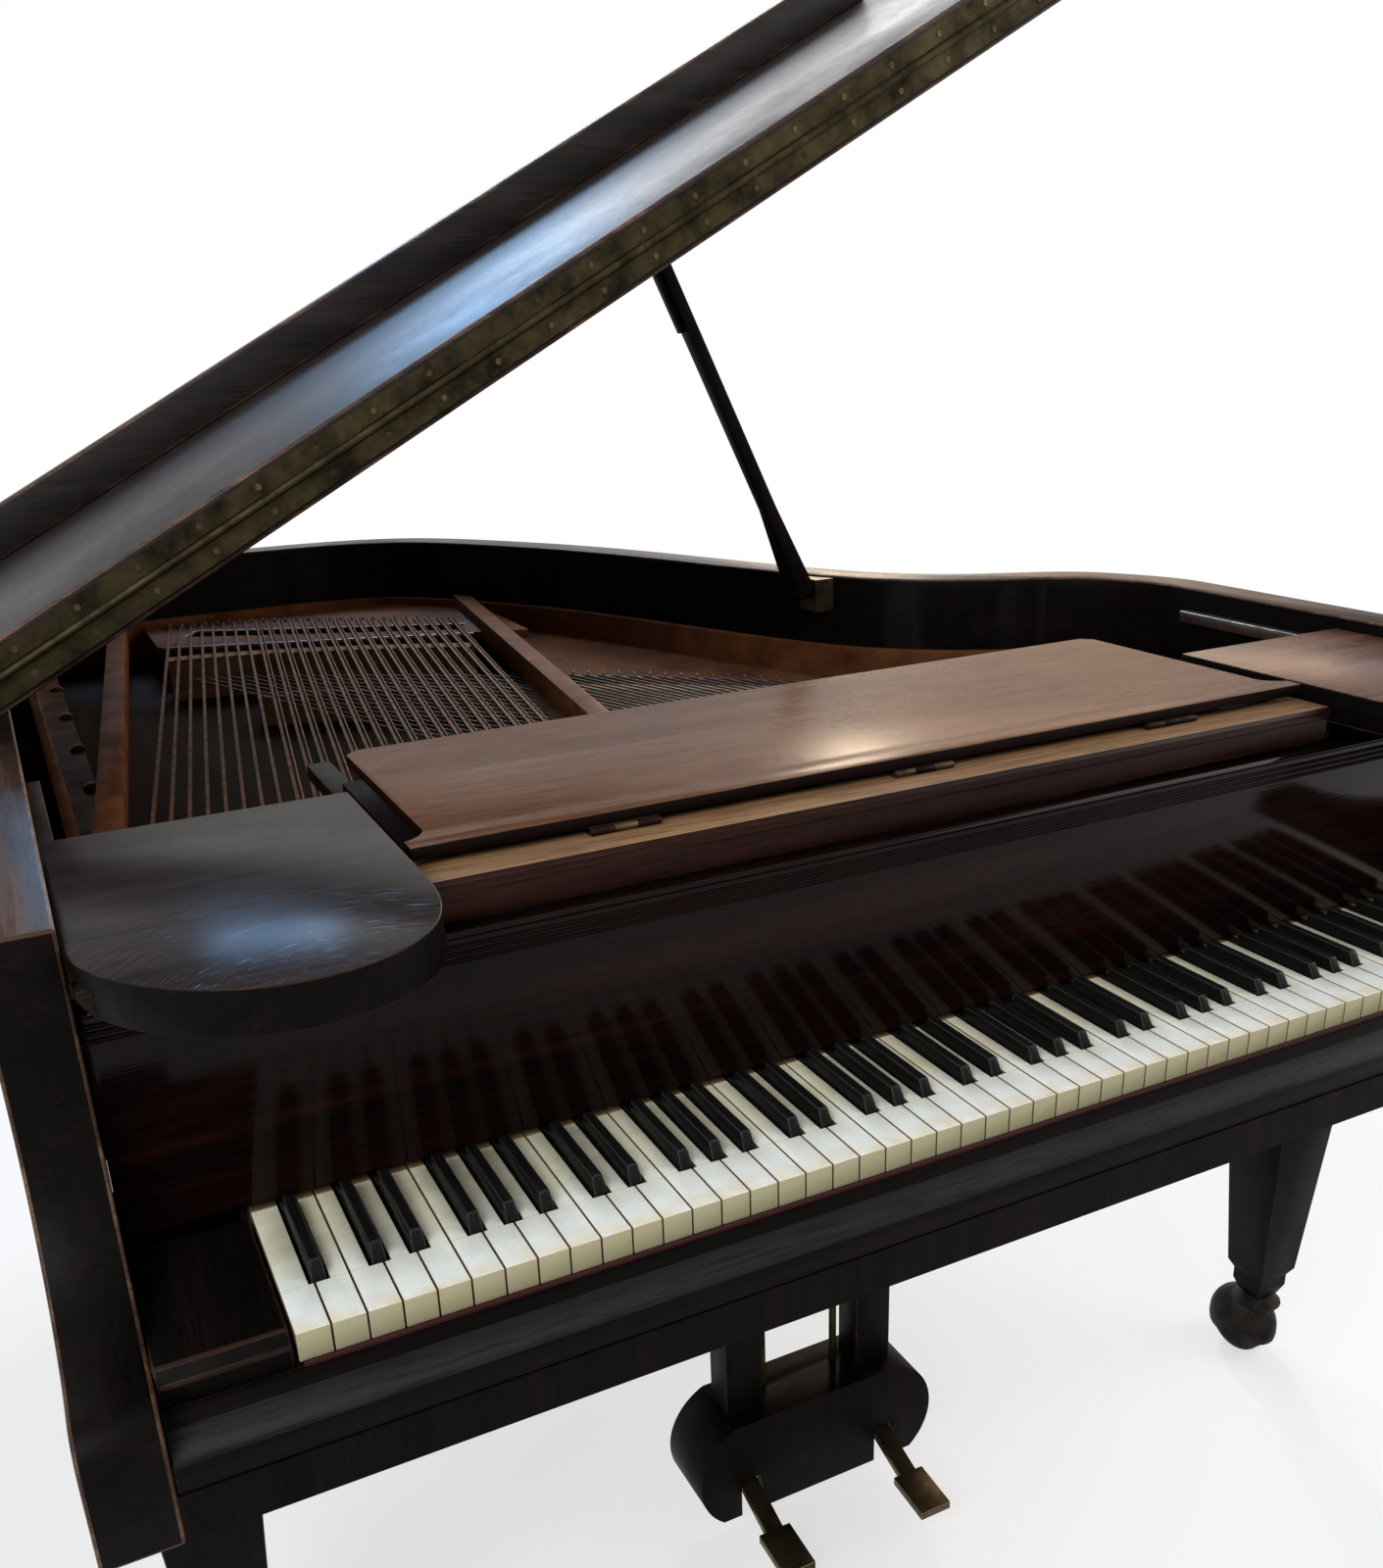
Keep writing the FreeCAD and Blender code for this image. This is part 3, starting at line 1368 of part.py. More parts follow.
def pedal_places(sign):
    """Pivot and rod places of one pedal."""
    x = sign * s.pedal_x
    front = s.lyre_y - s.lyre_box_deep / 2
    z = -s.lyre_box_top - s.lyre_box_tall + s.pedal_drop
    pivot_y = front + s.pedal_pivot_back
    return V(x, pivot_y, z), V(sign * s.rod_x, pivot_y + s.rod_back, z)


def make_lyre_box():
    """Box with bulging ends, open below, with a slot and a pin for each pedal."""
    half = s.lyre_box_half
    top_half = s.lyre_box_top_half
    low_half = s.lyre_box_low_half
    front = s.lyre_y - s.lyre_box_deep / 2
    back = front + s.lyre_box_deep
    top = -s.lyre_box_top
    low = top - s.lyre_box_tall
    middle = (top + low) / 2
    outline = Part.Wire([
        Part.makeLine(V(-top_half, front, top), V(top_half, front, top)),
        Part.Arc(V(top_half, front, top), V(half, front, middle), V(low_half, front, low)).toShape(),
        Part.makeLine(V(low_half, front, low), V(-low_half, front, low)),
        Part.Arc(V(-low_half, front, low), V(-half, front, middle), V(-top_half, front, top)).toShape(),
    ])
    outer = Part.Face(outline).extrude(V(0, s.lyre_box_deep, 0))
    wall = s.lyre_wall
    roof = top - s.lyre_roof
    hollow = block(V(wall - low_half, front + wall, low - s.overrun), V(low_half - wall, back - wall, roof))
    shape = outer.cut(hollow)
    for sign in (-1, 1):
        pivot, rod_place = pedal_places(sign)
        wide = s.pedal_wide / 2 + s.pedal_slot_gap
        slot = block(
            V(pivot.x - wide, front - s.overrun, low - s.overrun),
            V(pivot.x + wide, front + wall + s.overrun / 4, pivot.z + s.pedal_thick),
        )
        hole_low = V(rod_place.x, rod_place.y, roof - s.overrun)
        hole = Part.makeCylinder(s.rod_radius + s.hinge_gap, s.lyre_roof + 2 * s.overrun, hole_low)
        shape = shape.cut(slot).cut(hole)
        pin = Part.makeCylinder(s.pedal_pin, 2 * wide, pivot - X_AXIS * wide, X_AXIS)
        ears = []
        for end in (-1, 1):
            ear_x = pivot.x + end * (s.pedal_wide / 2 + s.hinge_gap)
            ear_low = min(ear_x, ear_x + end * s.lyre_wall / 2)
            ears.append(block(
                V(ear_low, pivot.y - s.pedal_thick, pivot.z - s.pedal_thick),
                V(ear_low + s.lyre_wall / 2, pivot.y + s.pedal_thick, roof),
            ))
        shape = shape.fuse(ears + [pin])
    feature("lyre_box", shape.removeSplitter())


def make_braces():
    """Two slanted stays from the back of the lyre up to the keybed's back edge."""
    pieces = []
    for sign in (-1, 1):
        low_y = s.lyre_y + s.lyre_post_deep / 2 + s.brace_gap + s.brace_radius
        low = V(sign * s.lyre_post_x, low_y, -s.lyre_box_top)
        high = V(sign * s.lyre_post_x, s.belly_front + s.belly_thick / 2, -s.case_foot)
        along = high - low
        stay = Part.makeCylinder(s.brace_radius, along.Length * 2, low - along / 2, along)
        room = block(
            V(low.x - s.overrun, low.y - s.overrun, low.z),
            V(low.x + s.overrun, high.y + s.overrun * 2, high.z),
        )
        pieces.append(stay.common(room))
    return shaped("lyre_braces", Part.makeCompound(pieces))


def make_pedal(side, sign):
    """A bent brass lever on a pin in the box, with an arm under its rod."""
    pivot, rod_place = pedal_places(sign)
    half = s.pedal_wide / 2
    thick = s.pedal_thick / 2
    front = pivot.y - s.pedal_pivot_back
    tip = front - s.pedal_reach
    bend = tip + s.pedal_tip_length
    low = pivot.z - s.pedal_fall
    line = [
        V(0, pivot.y + s.pedal_heel, pivot.z),
        V(0, pivot.y - thick, pivot.z),
        V(0, bend, low),
        V(0, tip, low - thick),
    ]
    upper = [p + Z_AXIS * thick for p in line]
    lower = [p - Z_AXIS * thick for p in reversed(line)]
    side_view = upper + lower
    lever = Part.Face(Part.makePolygon(side_view + side_view[:1])).extrude(X_AXIS * s.pedal_wide)
    lever.translate(X_AXIS * (pivot.x - half))
    sole_view = [upper[2], upper[3], lower[0], lower[1]]
    sole = Part.Face(Part.makePolygon(sole_view + sole_view[:1])).extrude(X_AXIS * s.pedal_tip_wide)
    sole.translate(X_AXIS * (pivot.x - s.pedal_tip_wide / 2))
    arm_ends = sorted((pivot.x + half * sign, rod_place.x - s.rod_radius * 2 * sign))
    arm = block(
        V(arm_ends[0], pivot.y + s.pedal_heel, pivot.z - thick),
        V(arm_ends[1], rod_place.y + s.rod_radius * 2, pivot.z + thick),
    )
    reach = X_AXIS * s.pedal_tip_wide
    bore = Part.makeCylinder(s.pedal_pin + s.pin_clear, 2 * s.pedal_tip_wide, pivot - reach, X_AXIS)
    feature(f"pedal_{side}", lever.fuse([sole, arm]).cut(bore).removeSplitter())
    start = pivot.z + thick + s.seat_gap
    end = -s.case_foot - s.lyre_head_tall - s.rod_rise
    rod_low = V(rod_place.x, rod_place.y, start)
    feature(f"pedal_rod_{side}", Part.makeCylinder(s.rod_radius, end - start, rod_low))


make_case()
make_fallboard()
make_keys()
make_sounding_parts()
make_action()
make_dampers()
make_lid()
make_prop()
make_shelves(make_desk())
make_stand()
make_lyre()
doc.recompute()

failed = [o.Name for o in doc.Objects if "Invalid" in o.State or "Error" in o.State]
if failed:
    raise RuntimeError(f"objects that failed to build: {failed}")
for part in nodes:
    if part.Shape.isNull() or not part.Shape.isValid():
        raise RuntimeError(f"bad shape: {part.Label}")

os.makedirs("parts", exist_ok=True)
for part in nodes:
    part.Shape.exportStep(f"parts/{part.Label}.step")
print(len(nodes), "sub-parts written")
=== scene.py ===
"""Looks of a grand piano in dark polished mahogany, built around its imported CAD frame."""

import json
import math

import bmesh
import bpy
from mathutils import Euler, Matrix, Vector


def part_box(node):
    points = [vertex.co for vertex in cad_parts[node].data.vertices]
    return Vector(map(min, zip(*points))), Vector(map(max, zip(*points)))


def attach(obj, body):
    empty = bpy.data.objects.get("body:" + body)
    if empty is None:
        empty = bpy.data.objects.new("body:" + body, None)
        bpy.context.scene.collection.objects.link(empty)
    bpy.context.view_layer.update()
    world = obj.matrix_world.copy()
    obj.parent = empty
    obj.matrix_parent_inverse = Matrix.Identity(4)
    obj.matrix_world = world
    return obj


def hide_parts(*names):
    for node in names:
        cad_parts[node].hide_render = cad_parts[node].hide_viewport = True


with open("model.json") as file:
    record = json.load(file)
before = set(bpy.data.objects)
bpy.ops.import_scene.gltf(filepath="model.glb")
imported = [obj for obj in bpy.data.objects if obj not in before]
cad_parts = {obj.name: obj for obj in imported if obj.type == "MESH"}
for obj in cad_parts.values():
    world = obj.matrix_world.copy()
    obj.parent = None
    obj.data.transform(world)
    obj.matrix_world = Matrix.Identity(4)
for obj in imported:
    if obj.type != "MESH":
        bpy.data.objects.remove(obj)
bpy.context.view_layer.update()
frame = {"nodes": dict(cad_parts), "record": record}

MM = 0.001
UP = Vector((0, 0, 1))
FORWARD = Vector((0, -1, 0))
BEHAVIOUR = frame["record"]["behaviour"]
BODY_OF = {node: body for body, nodes in BEHAVIOUR["bodies"].items() for node in nodes}
JOINTS = {joint["name"]: joint for joint in BEHAVIOUR["joints"]}
NOTES = ("c", "c_sharp", "d", "d_sharp", "e", "f", "f_sharp", "g", "g_sharp", "a", "a_sharp", "b")
NATURAL_NODES = ["natural_keys"] + [f"key_{note}" for note in NOTES if "sharp" not in note]
SHARP_NODES = ["sharp_keys"] + [f"key_{note}" for note in NOTES if "sharp" in note]
CASTERS = ("front_left", "front_right", "rear")

# Working places: X from the middle of the case, Y back from the key fronts, Z up from the key tops
key_low, key_high = (Vector(corner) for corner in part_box("natural_keys"))
plate_low, plate_high = (Vector(corner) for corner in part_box("plate"))
MIDDLE = (plate_low.x + plate_high.x) / 2
KEY_FRONT = key_low.y
KEY_TOP = key_high.z


def at(x, y, z):
    """A place in the frame's metres, from working millimetres."""
    return Vector((MIDDLE + x * MM, KEY_FRONT + y * MM, KEY_TOP + z * MM))


def placed(name, data):
    """A new object in the scene, at the origin."""
    thing = bpy.data.objects.new(name, data)
    bpy.context.collection.objects.link(thing)
    return thing


def smooth(mesh, corner):
    """Smooth shading that keeps edges sharper than a corner in degrees."""
    mesh.shade_smooth()
    mesh.set_sharp_from_angle(angle=math.radians(corner))


# Materials
class Shading:
    """A material with one principled shader, and short ways to wire its nodes."""

    def __init__(self, name):
        self.material = bpy.data.materials.new(name)
        self.material.use_nodes = True
        self.nodes = self.material.node_tree.nodes
        self.links = self.material.node_tree.links
        self.shader = self.nodes["Principled BSDF"]
        self.place = self.nodes.new("ShaderNodeTexCoord").outputs["Object"]

    def join(self, source, node, socket):
        """Links an output to a named input."""
        self.links.new(source, node.inputs[socket])

    def feed(self, node, socket, value):
        """Links an output to an input, or sets the input to a number or a colour."""
        if isinstance(value, bpy.types.NodeSocket):
            self.links.new(value, node.inputs[socket])
        elif isinstance(value, tuple):
            node.inputs[socket].default_value = (*value, 1.0)
        else:
            node.inputs[socket].default_value = value

    def set(self, **values):
        """Constants on the shader's own sockets."""
        for name, value in values.items():
            self.shader.inputs[name.replace("_", " ")].default_value = value

    def mapped(self, socket, value):
        """Object coordinates that are scaled or moved by axis."""
        mapping = self.nodes.new("ShaderNodeMapping")
        mapping.inputs[socket].default_value = value
        self.join(self.place, mapping, "Vector")
        return mapping.outputs["Vector"]

    def axes(self, vector):
        """The X, Y and Z of a vector."""
        split = self.nodes.new("ShaderNodeSeparateXYZ")
        self.join(vector, split, "Vector")
        return [split.outputs[axis] for axis in "XYZ"]

    def noise(self, vector, scale, detail=4.0, rough=0.55, distortion=0.0):
        node = self.nodes.new("ShaderNodeTexNoise")
        node.inputs["Scale"].default_value = scale
        node.inputs["Detail"].default_value = detail
        node.inputs["Roughness"].default_value = rough
        node.inputs["Distortion"].default_value = distortion
        self.join(vector, node, "Vector")
        return node.outputs["Fac"]

    def ramp(self, source, *stops):
        """A value turned into colours, from stops of place and colour."""
        node = self.nodes.new("ShaderNodeValToRGB")
        elements = node.color_ramp.elements
        while len(elements) < len(stops):
            elements.new(0.5)
        for element, (place, colour) in zip(elements, stops):
            element.position = place
            element.color = (*colour, 1.0)
        self.join(source, node, "Fac")
        return node.outputs["Color"]

    def span(self, source, low, high, from_low=0.3, from_high=0.7):
        """A value moved from one range to another and held at its ends."""
        node = self.nodes.new("ShaderNodeMapRange")
        node.inputs["From Min"].default_value = from_low
        node.inputs["From Max"].default_value = from_high
        node.inputs["To Min"].default_value = low
        node.inputs["To Max"].default_value = high
        self.join(source, node, "Value")
        return node.outputs["Result"]

    def mix(self, kind, factor, first, second):
        """Two colours mixed; the colour mix keeps its factor and colours in sockets 0, 6 and 7."""
        node = self.nodes.new("ShaderNodeMix")
        node.data_type = "RGBA"
        node.blend_type = kind
        for socket, value in ((0, factor), (6, first), (7, second)):
            self.feed(node, socket, value)
        return node.outputs[2]

    def math(self, operation, first, second=0.0):
        node = self.nodes.new("ShaderNodeMath")
        node.operation = operation
        self.feed(node, 0, first)
        self.feed(node, 1, second)
        return node.outputs["Value"]

    def bump(self, height, strength, distance):
        node = self.nodes.new("ShaderNodeBump")
        node.inputs["Strength"].default_value = strength
        node.inputs["Distance"].default_value = distance
        self.join(height, node, "Height")
        self.join(node.outputs["Normal"], self.shader, "Normal")


WHITE = (1.0, 1.0, 1.0)
GRAIN_STRETCH = {"X": (0.06, 1.0, 1.0), "Y": (1.0, 0.06, 1.0), "Z": (1.0, 1.0, 0.06)}
PORE_SHADE = (0.45, 0.42, 0.4)
SWIRL_ACROSS = 700.0
SWIRL_ALONG = 6.0
# The marks fade out between these distances from their middle, a painted highlight round a lamp's reflection
SWIRL_SHEEN_REACH = (0.12, 0.27)


def swirl_marks_and_sheen(look, colour, middle, pale, amount):
    """Fine rubbing marks in short arcs round a place on a top, fading out within a short reach of it: real marks, and
    a painted highlight round the place where a lamp's reflection falls.
    """
    x, y, _ = look.axes(look.mapped("Location", -middle))
    far = look.math("SQRT", look.math("ADD", look.math("MULTIPLY", x, x), look.math("MULTIPLY", y, y)))
    turn = look.math("ARCTAN2", y, x)
    arcs = look.nodes.new("ShaderNodeCombineXYZ")
    look.join(look.math("MULTIPLY", far, SWIRL_ACROSS), arcs, "X")
    look.join(look.math("MULTIPLY", turn, SWIRL_ALONG), arcs, "Y")
    marks = look.noise(arcs.outputs["Vector"], scale=1.0, detail=3.0, rough=0.6, distortion=0.5)
    lines = look.span(marks, 0.0, amount, 0.56, 0.72)
    patches = look.span(look.noise(look.place, scale=16.0, detail=3.0), 0.2, 1.0, 0.42, 0.6)
    near = look.span(far, 1.0, 0.0, *SWIRL_SHEEN_REACH)
    strength = look.math("MULTIPLY", lines, look.math("MULTIPLY", patches, near))
    return look.mix("MIX", strength, colour, pale)


def polished_wood(name, tones, grain, gloss, ior, dulling=0.16, swirls_and_sheen=None):
    """Stained wood under old lacquer: streaks and pores along the grain, and hazy patches."""
    look = Shading(name)
    dark, mid, light = tones
    along = look.mapped("Scale", GRAIN_STRETCH[grain])
    streaks = look.noise(along, scale=34.0, detail=6.0, rough=0.6, distortion=0.7)
    pores = look.noise(along, scale=420.0, detail=3.0, rough=0.5)
    haze = look.noise(look.place, scale=5.0, detail=5.0, rough=0.6)
    scuffs = look.noise(look.place, scale=90.0, detail=8.0, rough=0.7)
    colour = look.ramp(streaks, (0.3, dark), (0.52, mid), (0.74, light))
    colour = look.mix("MULTIPLY", 0.8, colour, look.ramp(pores, (0.36, PORE_SHADE), (0.5, WHITE)))
    if swirls_and_sheen:
        colour = swirl_marks_and_sheen(look, colour, *swirls_and_sheen)
    look.join(colour, look.shader, "Base Color")
    rough = look.math("ADD", look.span(haze, gloss, gloss + dulling), look.span(scuffs, 0.0, dulling / 2))
    look.join(rough, look.shader, "Roughness")
    look.set(IOR=ior)
    look.bump(pores, strength=0.12, distance=0.4 * MM)
    return look.material


def bare_wood(name, dark, light, grain):
    """Unpolished wood of the parts inside the case."""
    look = Shading(name)
    along = look.mapped("Scale", GRAIN_STRETCH[grain])
    streaks = look.noise(along, scale=60.0, detail=5.0, rough=0.6, distortion=0.5)
    look.join(look.ramp(streaks, (0.32, dark), (0.7, light)), look.shader, "Base Color")
    look.join(look.span(streaks, 0.55, 0.75), look.shader, "Roughness")
    look.set(IOR=1.12)
    look.bump(streaks, strength=0.15, distance=0.6 * MM)
    return look.material


# Distances on the naturals are measured back from the key fronts
IVORY_JOINT = 48 * MM
JOINT_WIDTH = 0.4 * MM
STAIN_FROM = 1 * MM
STAIN_TO = 22 * MM
COVER_END = 152 * MM
# The heads are whiter than the yellowed tails, and their cool tint is a painted cool light on them
IVORY_HEAD = ((0.77, 0.79, 0.74), (0.84, 0.87, 0.84))
IVORY_TAIL = ((0.62, 0.56, 0.38), (0.74, 0.70, 0.53))
IVORY_STAIN = (0.74, 0.6, 0.38)
IVORY_LINE = (0.9, 0.87, 0.8)
IVORY_FRONT = (0.41, 0.365, 0.215)
JOINT_SHADE = (0.28, 0.22, 0.13)
KEY_WOOD = ((0.17, 0.1, 0.045), (0.26, 0.16, 0.08))
KEY_SIDE = (0.2, 0.12, 0.055)


def aged_ivory(name):
    """Key covering with white heads tinted cool as a painted cool light, yellowed tails and fronts, and bare wood at
    the sides and behind, which also darkens the eased edges as painted shade between keys.
    """
    look = Shading(name)
    blotch = look.noise(look.place, scale=34.0, detail=3.0, rough=0.5)
    grain = look.noise(look.mapped("Scale", (1.0, 0.05, 1.0)), scale=900.0, detail=2.0)
    back = look.math("SUBTRACT", look.axes(look.place)[1], KEY_FRONT)
    head, tail = (look.ramp(blotch, (0.3, dark), (0.7, light)) for dark, light in (IVORY_HEAD, IVORY_TAIL))
    colour = look.mix("MIX", look.span(back, 0.0, 1.0, IVORY_JOINT / 2, 2 * IVORY_JOINT), head, tail)
    near_front = look.span(back, 1.0, 0.0, STAIN_FROM, STAIN_TO)
    worn = look.span(look.noise(look.place, scale=60.0, detail=3.0), 0.1, 0.8, 0.35, 0.65)
    colour = look.mix("MIX", look.math("MULTIPLY", near_front, worn), colour, IVORY_STAIN)
    colour = look.mix("MULTIPLY", 0.4, colour, look.ramp(grain, (0.3, IVORY_LINE), (0.6, WHITE)))
    from_joint = look.math("ABSOLUTE", look.math("SUBTRACT", back, IVORY_JOINT))
    colour = look.mix("MIX", look.span(from_joint, 0.5, 0.0, 0.0, JOINT_WIDTH), colour, JOINT_SHADE)
    bare = look.ramp(grain, (0.3, KEY_WOOD[0]), (0.7, KEY_WOOD[1]))
    colour = look.mix("MIX", look.span(back, 0.0, 1.0, COVER_END, COVER_END + MM), colour, bare)
    across, ahead, _ = look.axes(look.nodes.new("ShaderNodeNewGeometry").outputs["Normal"])
    colour = look.mix("MIX", look.span(ahead, 1.0, 0.0, -0.95, -0.6), colour, IVORY_FRONT)
    # Faces turned even part way sideways take the bare side wood, so the keys' eased edges darken too, a painted shade
    # in the gaps between keys
    side = look.span(look.math("ABSOLUTE", across), 0.0, 1.0, 0.55, 0.8)
    colour = look.mix("MIX", side, colour, KEY_SIDE)
    look.join(colour, look.shader, "Base Color")
    look.join(look.span(blotch, 0.2, 0.36), look.shader, "Roughness")
    look.set(Subsurface_Weight=0.06, Subsurface_Radius=(4 * MM, 3 * MM, 2 * MM), IOR=1.35)
    look.bump(grain, strength=0.04, distance=0.2 * MM)
    return look.material


def worn_ebony(name, dark, light, low, high):
    """Black wood of the sharps, with fine grain along the keys."""
    look = Shading(name)
    grain = look.noise(look.mapped("Scale", (1.0, 0.04, 1.0)), scale=500.0, detail=3.0)
    shine = look.noise(look.place, scale=40.0, detail=4.0)
    look.join(look.ramp(grain, (0.3, dark), (0.75, light)), look.shader, "Base Color")
    look.join(look.span(shine, low, high), look.shader, "Roughness")
    look.set(IOR=1.18)
    look.bump(grain, strength=0.06, distance=0.2 * MM)
    return look.material


def aged_metal(name, bright, dull, metallic, low, high, scale):
    """Metal with dull blotches and fine speckle."""
    look = Shading(name)
    blotch = look.noise(look.place, scale, detail=6.0, rough=0.65)
    speckle = look.noise(look.place, scale=700.0, detail=2.0)
    colour = look.ramp(blotch, (0.34, dull), (0.66, bright))
    colour = look.mix("MULTIPLY", 0.35, colour, look.ramp(speckle, (0.3, (0.6, 0.6, 0.6)), (0.6, WHITE)))
    look.join(colour, look.shader, "Base Color")
    look.join(look.span(blotch, high, low), look.shader, "Roughness")
    look.set(Metallic=metallic, IOR=1.08)
    look.bump(speckle, strength=0.06, distance=0.3 * MM)
    return look.material


def wool_felt(name, dark, light):
    """Matted wool with short fibres."""
    look = Shading(name)
    fibres = look.noise(look.place, scale=900.0, detail=4.0, rough=0.7)
    look.join(look.ramp(fibres, (0.3, dark), (0.7, light)), look.shader, "Base Color")
    look.set(Roughness=0.95, Sheen_Weight=0.1, IOR=1.1)
    look.bump(fibres, strength=0.4, distance=1.0 * MM)
    return look.material


# Dark, middle and light tone of each stain
BLACK_TONES = ((0.0018, 0.0014, 0.0013), (0.0038, 0.0025, 0.0022), (0.0085, 0.0046, 0.0036))
PLUM_TONES = ((0.003, 0.0013, 0.0012), (0.0072, 0.0024, 0.002), (0.016, 0.005, 0.0036))
# Grey for the front of the key slip's slope, where it faces up: a painted highlight
SLIP_HIGHLIGHT_TONES = ((0.007, 0.0067, 0.0066), (0.0135, 0.0128, 0.0125), (0.022, 0.0205, 0.0198))
LID_TONES = ((0.008, 0.0062, 0.0064), (0.016, 0.0118, 0.0117), (0.028, 0.0185, 0.017))
DESK_TONES = ((0.096, 0.041, 0.0195), (0.137, 0.06, 0.029), (0.172, 0.08, 0.0405))
LEDGE_TONES = ((0.17, 0.085, 0.04), (0.26, 0.145, 0.072), (0.34, 0.21, 0.115))
LEDGE_FRONT_TONES = ((0.008, 0.0024, 0.0018), (0.018, 0.0054, 0.0036), (0.036, 0.011, 0.0064))
LEFT_SHELF_TONES = ((0.013, 0.009, 0.0082), (0.022, 0.0153, 0.014), (0.033, 0.0232, 0.0212))
RIM_TOP_TONES = ((0.012, 0.0086, 0.0074), (0.03, 0.018, 0.0135), (0.085, 0.044, 0.027))
RIGHT_SHELF_TONES = ((0.045, 0.02, 0.0135), (0.095, 0.044, 0.029), (0.15, 0.075, 0.05))
# The edge tones, far lighter than the faces beside them, stand for rubbed edges and for a painted highlight along the
# edges
BLACK_EDGE_TONES = ((0.004, 0.0024, 0.002), (0.014, 0.0066, 0.0046), (0.075, 0.031, 0.016))
BROWN_EDGE_TONES = ((0.02, 0.009, 0.006), (0.06, 0.028, 0.016), (0.19, 0.1, 0.055))
# Middle, colour and strength of the rubbing marks on the shelves; the marks are partly a painted highlight round the
# place where a lamp's reflection falls, and the left shelf's bluish colour is a painted reflection of cool light
LEFT_SWIRLS_AND_SHEEN = (at(-545, -40, 262), (0.13, 0.17, 0.26), 0.75)
RIGHT_SWIRLS_AND_SHEEN = (at(560, -40, 262), (0.34, 0.24, 0.18), 0.3)

case_wood = polished_wood("case_lacquer", BLACK_TONES, "Y", 0.34, 1.13)
leg_wood = polished_wood("leg_lacquer", BLACK_TONES, "Z", 0.36, 1.12)
front_wood = polished_wood("front_lacquer", PLUM_TONES, "X", 0.28, 1.12)
slip_wood = polished_wood("slip_lacquer", BLACK_TONES, "X", 0.32, 1.13)
slip_highlight_wood = polished_wood("slip_highlight_lacquer", SLIP_HIGHLIGHT_TONES, "X", 0.36, 1.17)
fall_wood = polished_wood("fallboard_lacquer", PLUM_TONES, "X", 0.06, 1.19, 0.06)
rim_top_wood = polished_wood("rim_top_lacquer", RIM_TOP_TONES, "Y", 0.3, 1.15)
lid_wood = polished_wood("lid_lacquer", LID_TONES, "X", 0.32, 1.24)
lid_main_wood = polished_wood("lid_main_lacquer", LID_TONES, "X", 0.38, 1.14)
desk_wood = polished_wood("desk_lacquer", DESK_TONES, "X", 0.2, 1.08, 0.12)
desk_edge_shade_wood = polished_wood("desk_edge_shade_lacquer", PLUM_TONES, "X", 0.3, 1.15)
ledge_wood = polished_wood("ledge_lacquer", LEDGE_TONES, "X", 0.38, 1.2)
ledge_front_wood = polished_wood("ledge_front_lacquer", LEDGE_FRONT_TONES, "X", 0.28, 1.18)
left_shelf_wood = polished_wood("left_shelf_lacquer", LEFT_SHELF_TONES, "X", 0.16, 1.09, 0.08, LEFT_SWIRLS_AND_SHEEN)
right_shelf_wood = polished_wood("right_shelf_lacquer", RIGHT_SHELF_TONES, "X", 0.2, 1.12, 0.12, RIGHT_SWIRLS_AND_SHEEN)
black_edge_wood = polished_wood("black_edge_lacquer", BLACK_EDGE_TONES, "X", 0.34, 1.2)
brown_edge_wood = polished_wood("brown_edge_lacquer", BROWN_EDGE_TONES, "X", 0.34, 1.25)
inner_wood = bare_wood("inner_beech", (0.16, 0.085, 0.04), (0.3, 0.18, 0.09), "X")
# The soundboard's spruce is painted far darker than bare spruce, a painted shade under the lid
shaded_board_wood = bare_wood("shaded_board_spruce", (0.014, 0.0066, 0.0034), (0.036, 0.018, 0.0085), "Y")
ivory = aged_ivory("key_ivory")
ebony = worn_ebony("key_ebony", (0.003, 0.003, 0.003), (0.01, 0.009, 0.0085), 0.26, 0.42)
# The sharps' edges are lighter: rubbed ebony, and a painted highlight along the edges
ebony_edge = worn_ebony("rubbed_ebony_and_sheen", (0.014, 0.0135, 0.013), (0.034, 0.032, 0.03), 0.2, 0.34)
brass = aged_metal("old_brass", (0.42, 0.29, 0.11), (0.10, 0.072, 0.036), 1.0, 0.28, 0.5, 30.0)
dark_brass = aged_metal("blackened_brass", (0.06, 0.046, 0.022), (0.011, 0.009, 0.006), 0.7, 0.4, 0.6, 24.0)
screw_brass = aged_metal("screw_brass", (0.12, 0.084, 0.04), (0.03, 0.022, 0.013), 0.8, 0.36, 0.54, 40.0)
pedal_brass = aged_metal("pedal_brass", (0.12, 0.085, 0.046), (0.02, 0.015, 0.01), 0.9, 0.34, 0.55, 26.0)
caster_iron = aged_metal("caster_iron", (0.035, 0.03, 0.026), (0.007, 0.006, 0.006), 0.6, 0.42, 0.62, 24.0)
iron = aged_metal("bronzed_iron", (0.15, 0.053, 0.02), (0.06, 0.02, 0.0085), 0.12, 0.36, 0.54, 14.0)
# Paler bronze for the frame bolts and the plate's edges: rubbed metal, and on the plate's edges a painted highlight
pale_iron = aged_metal("rubbed_bronze_and_sheen", (0.34, 0.19, 0.09), (0.2, 0.1, 0.05), 0.6, 0.34, 0.5, 14.0)
steel = aged_metal("wire_steel", (0.5, 0.47, 0.42), (0.24, 0.2, 0.16), 1.0, 0.25, 0.4, 60.0)
string_steel = aged_metal("string_steel", (0.15, 0.145, 0.14), (0.055, 0.05, 0.046), 0.6, 0.32, 0.5, 60.0)
bead_bronze = aged_metal("bead_bronze", (0.42, 0.35, 0.33), (0.22, 0.16, 0.14), 0.8, 0.24, 0.4, 30.0)
copper = aged_metal("wound_copper", (0.12, 0.053, 0.024), (0.055, 0.023, 0.011), 0.35, 0.36, 0.54, 60.0)
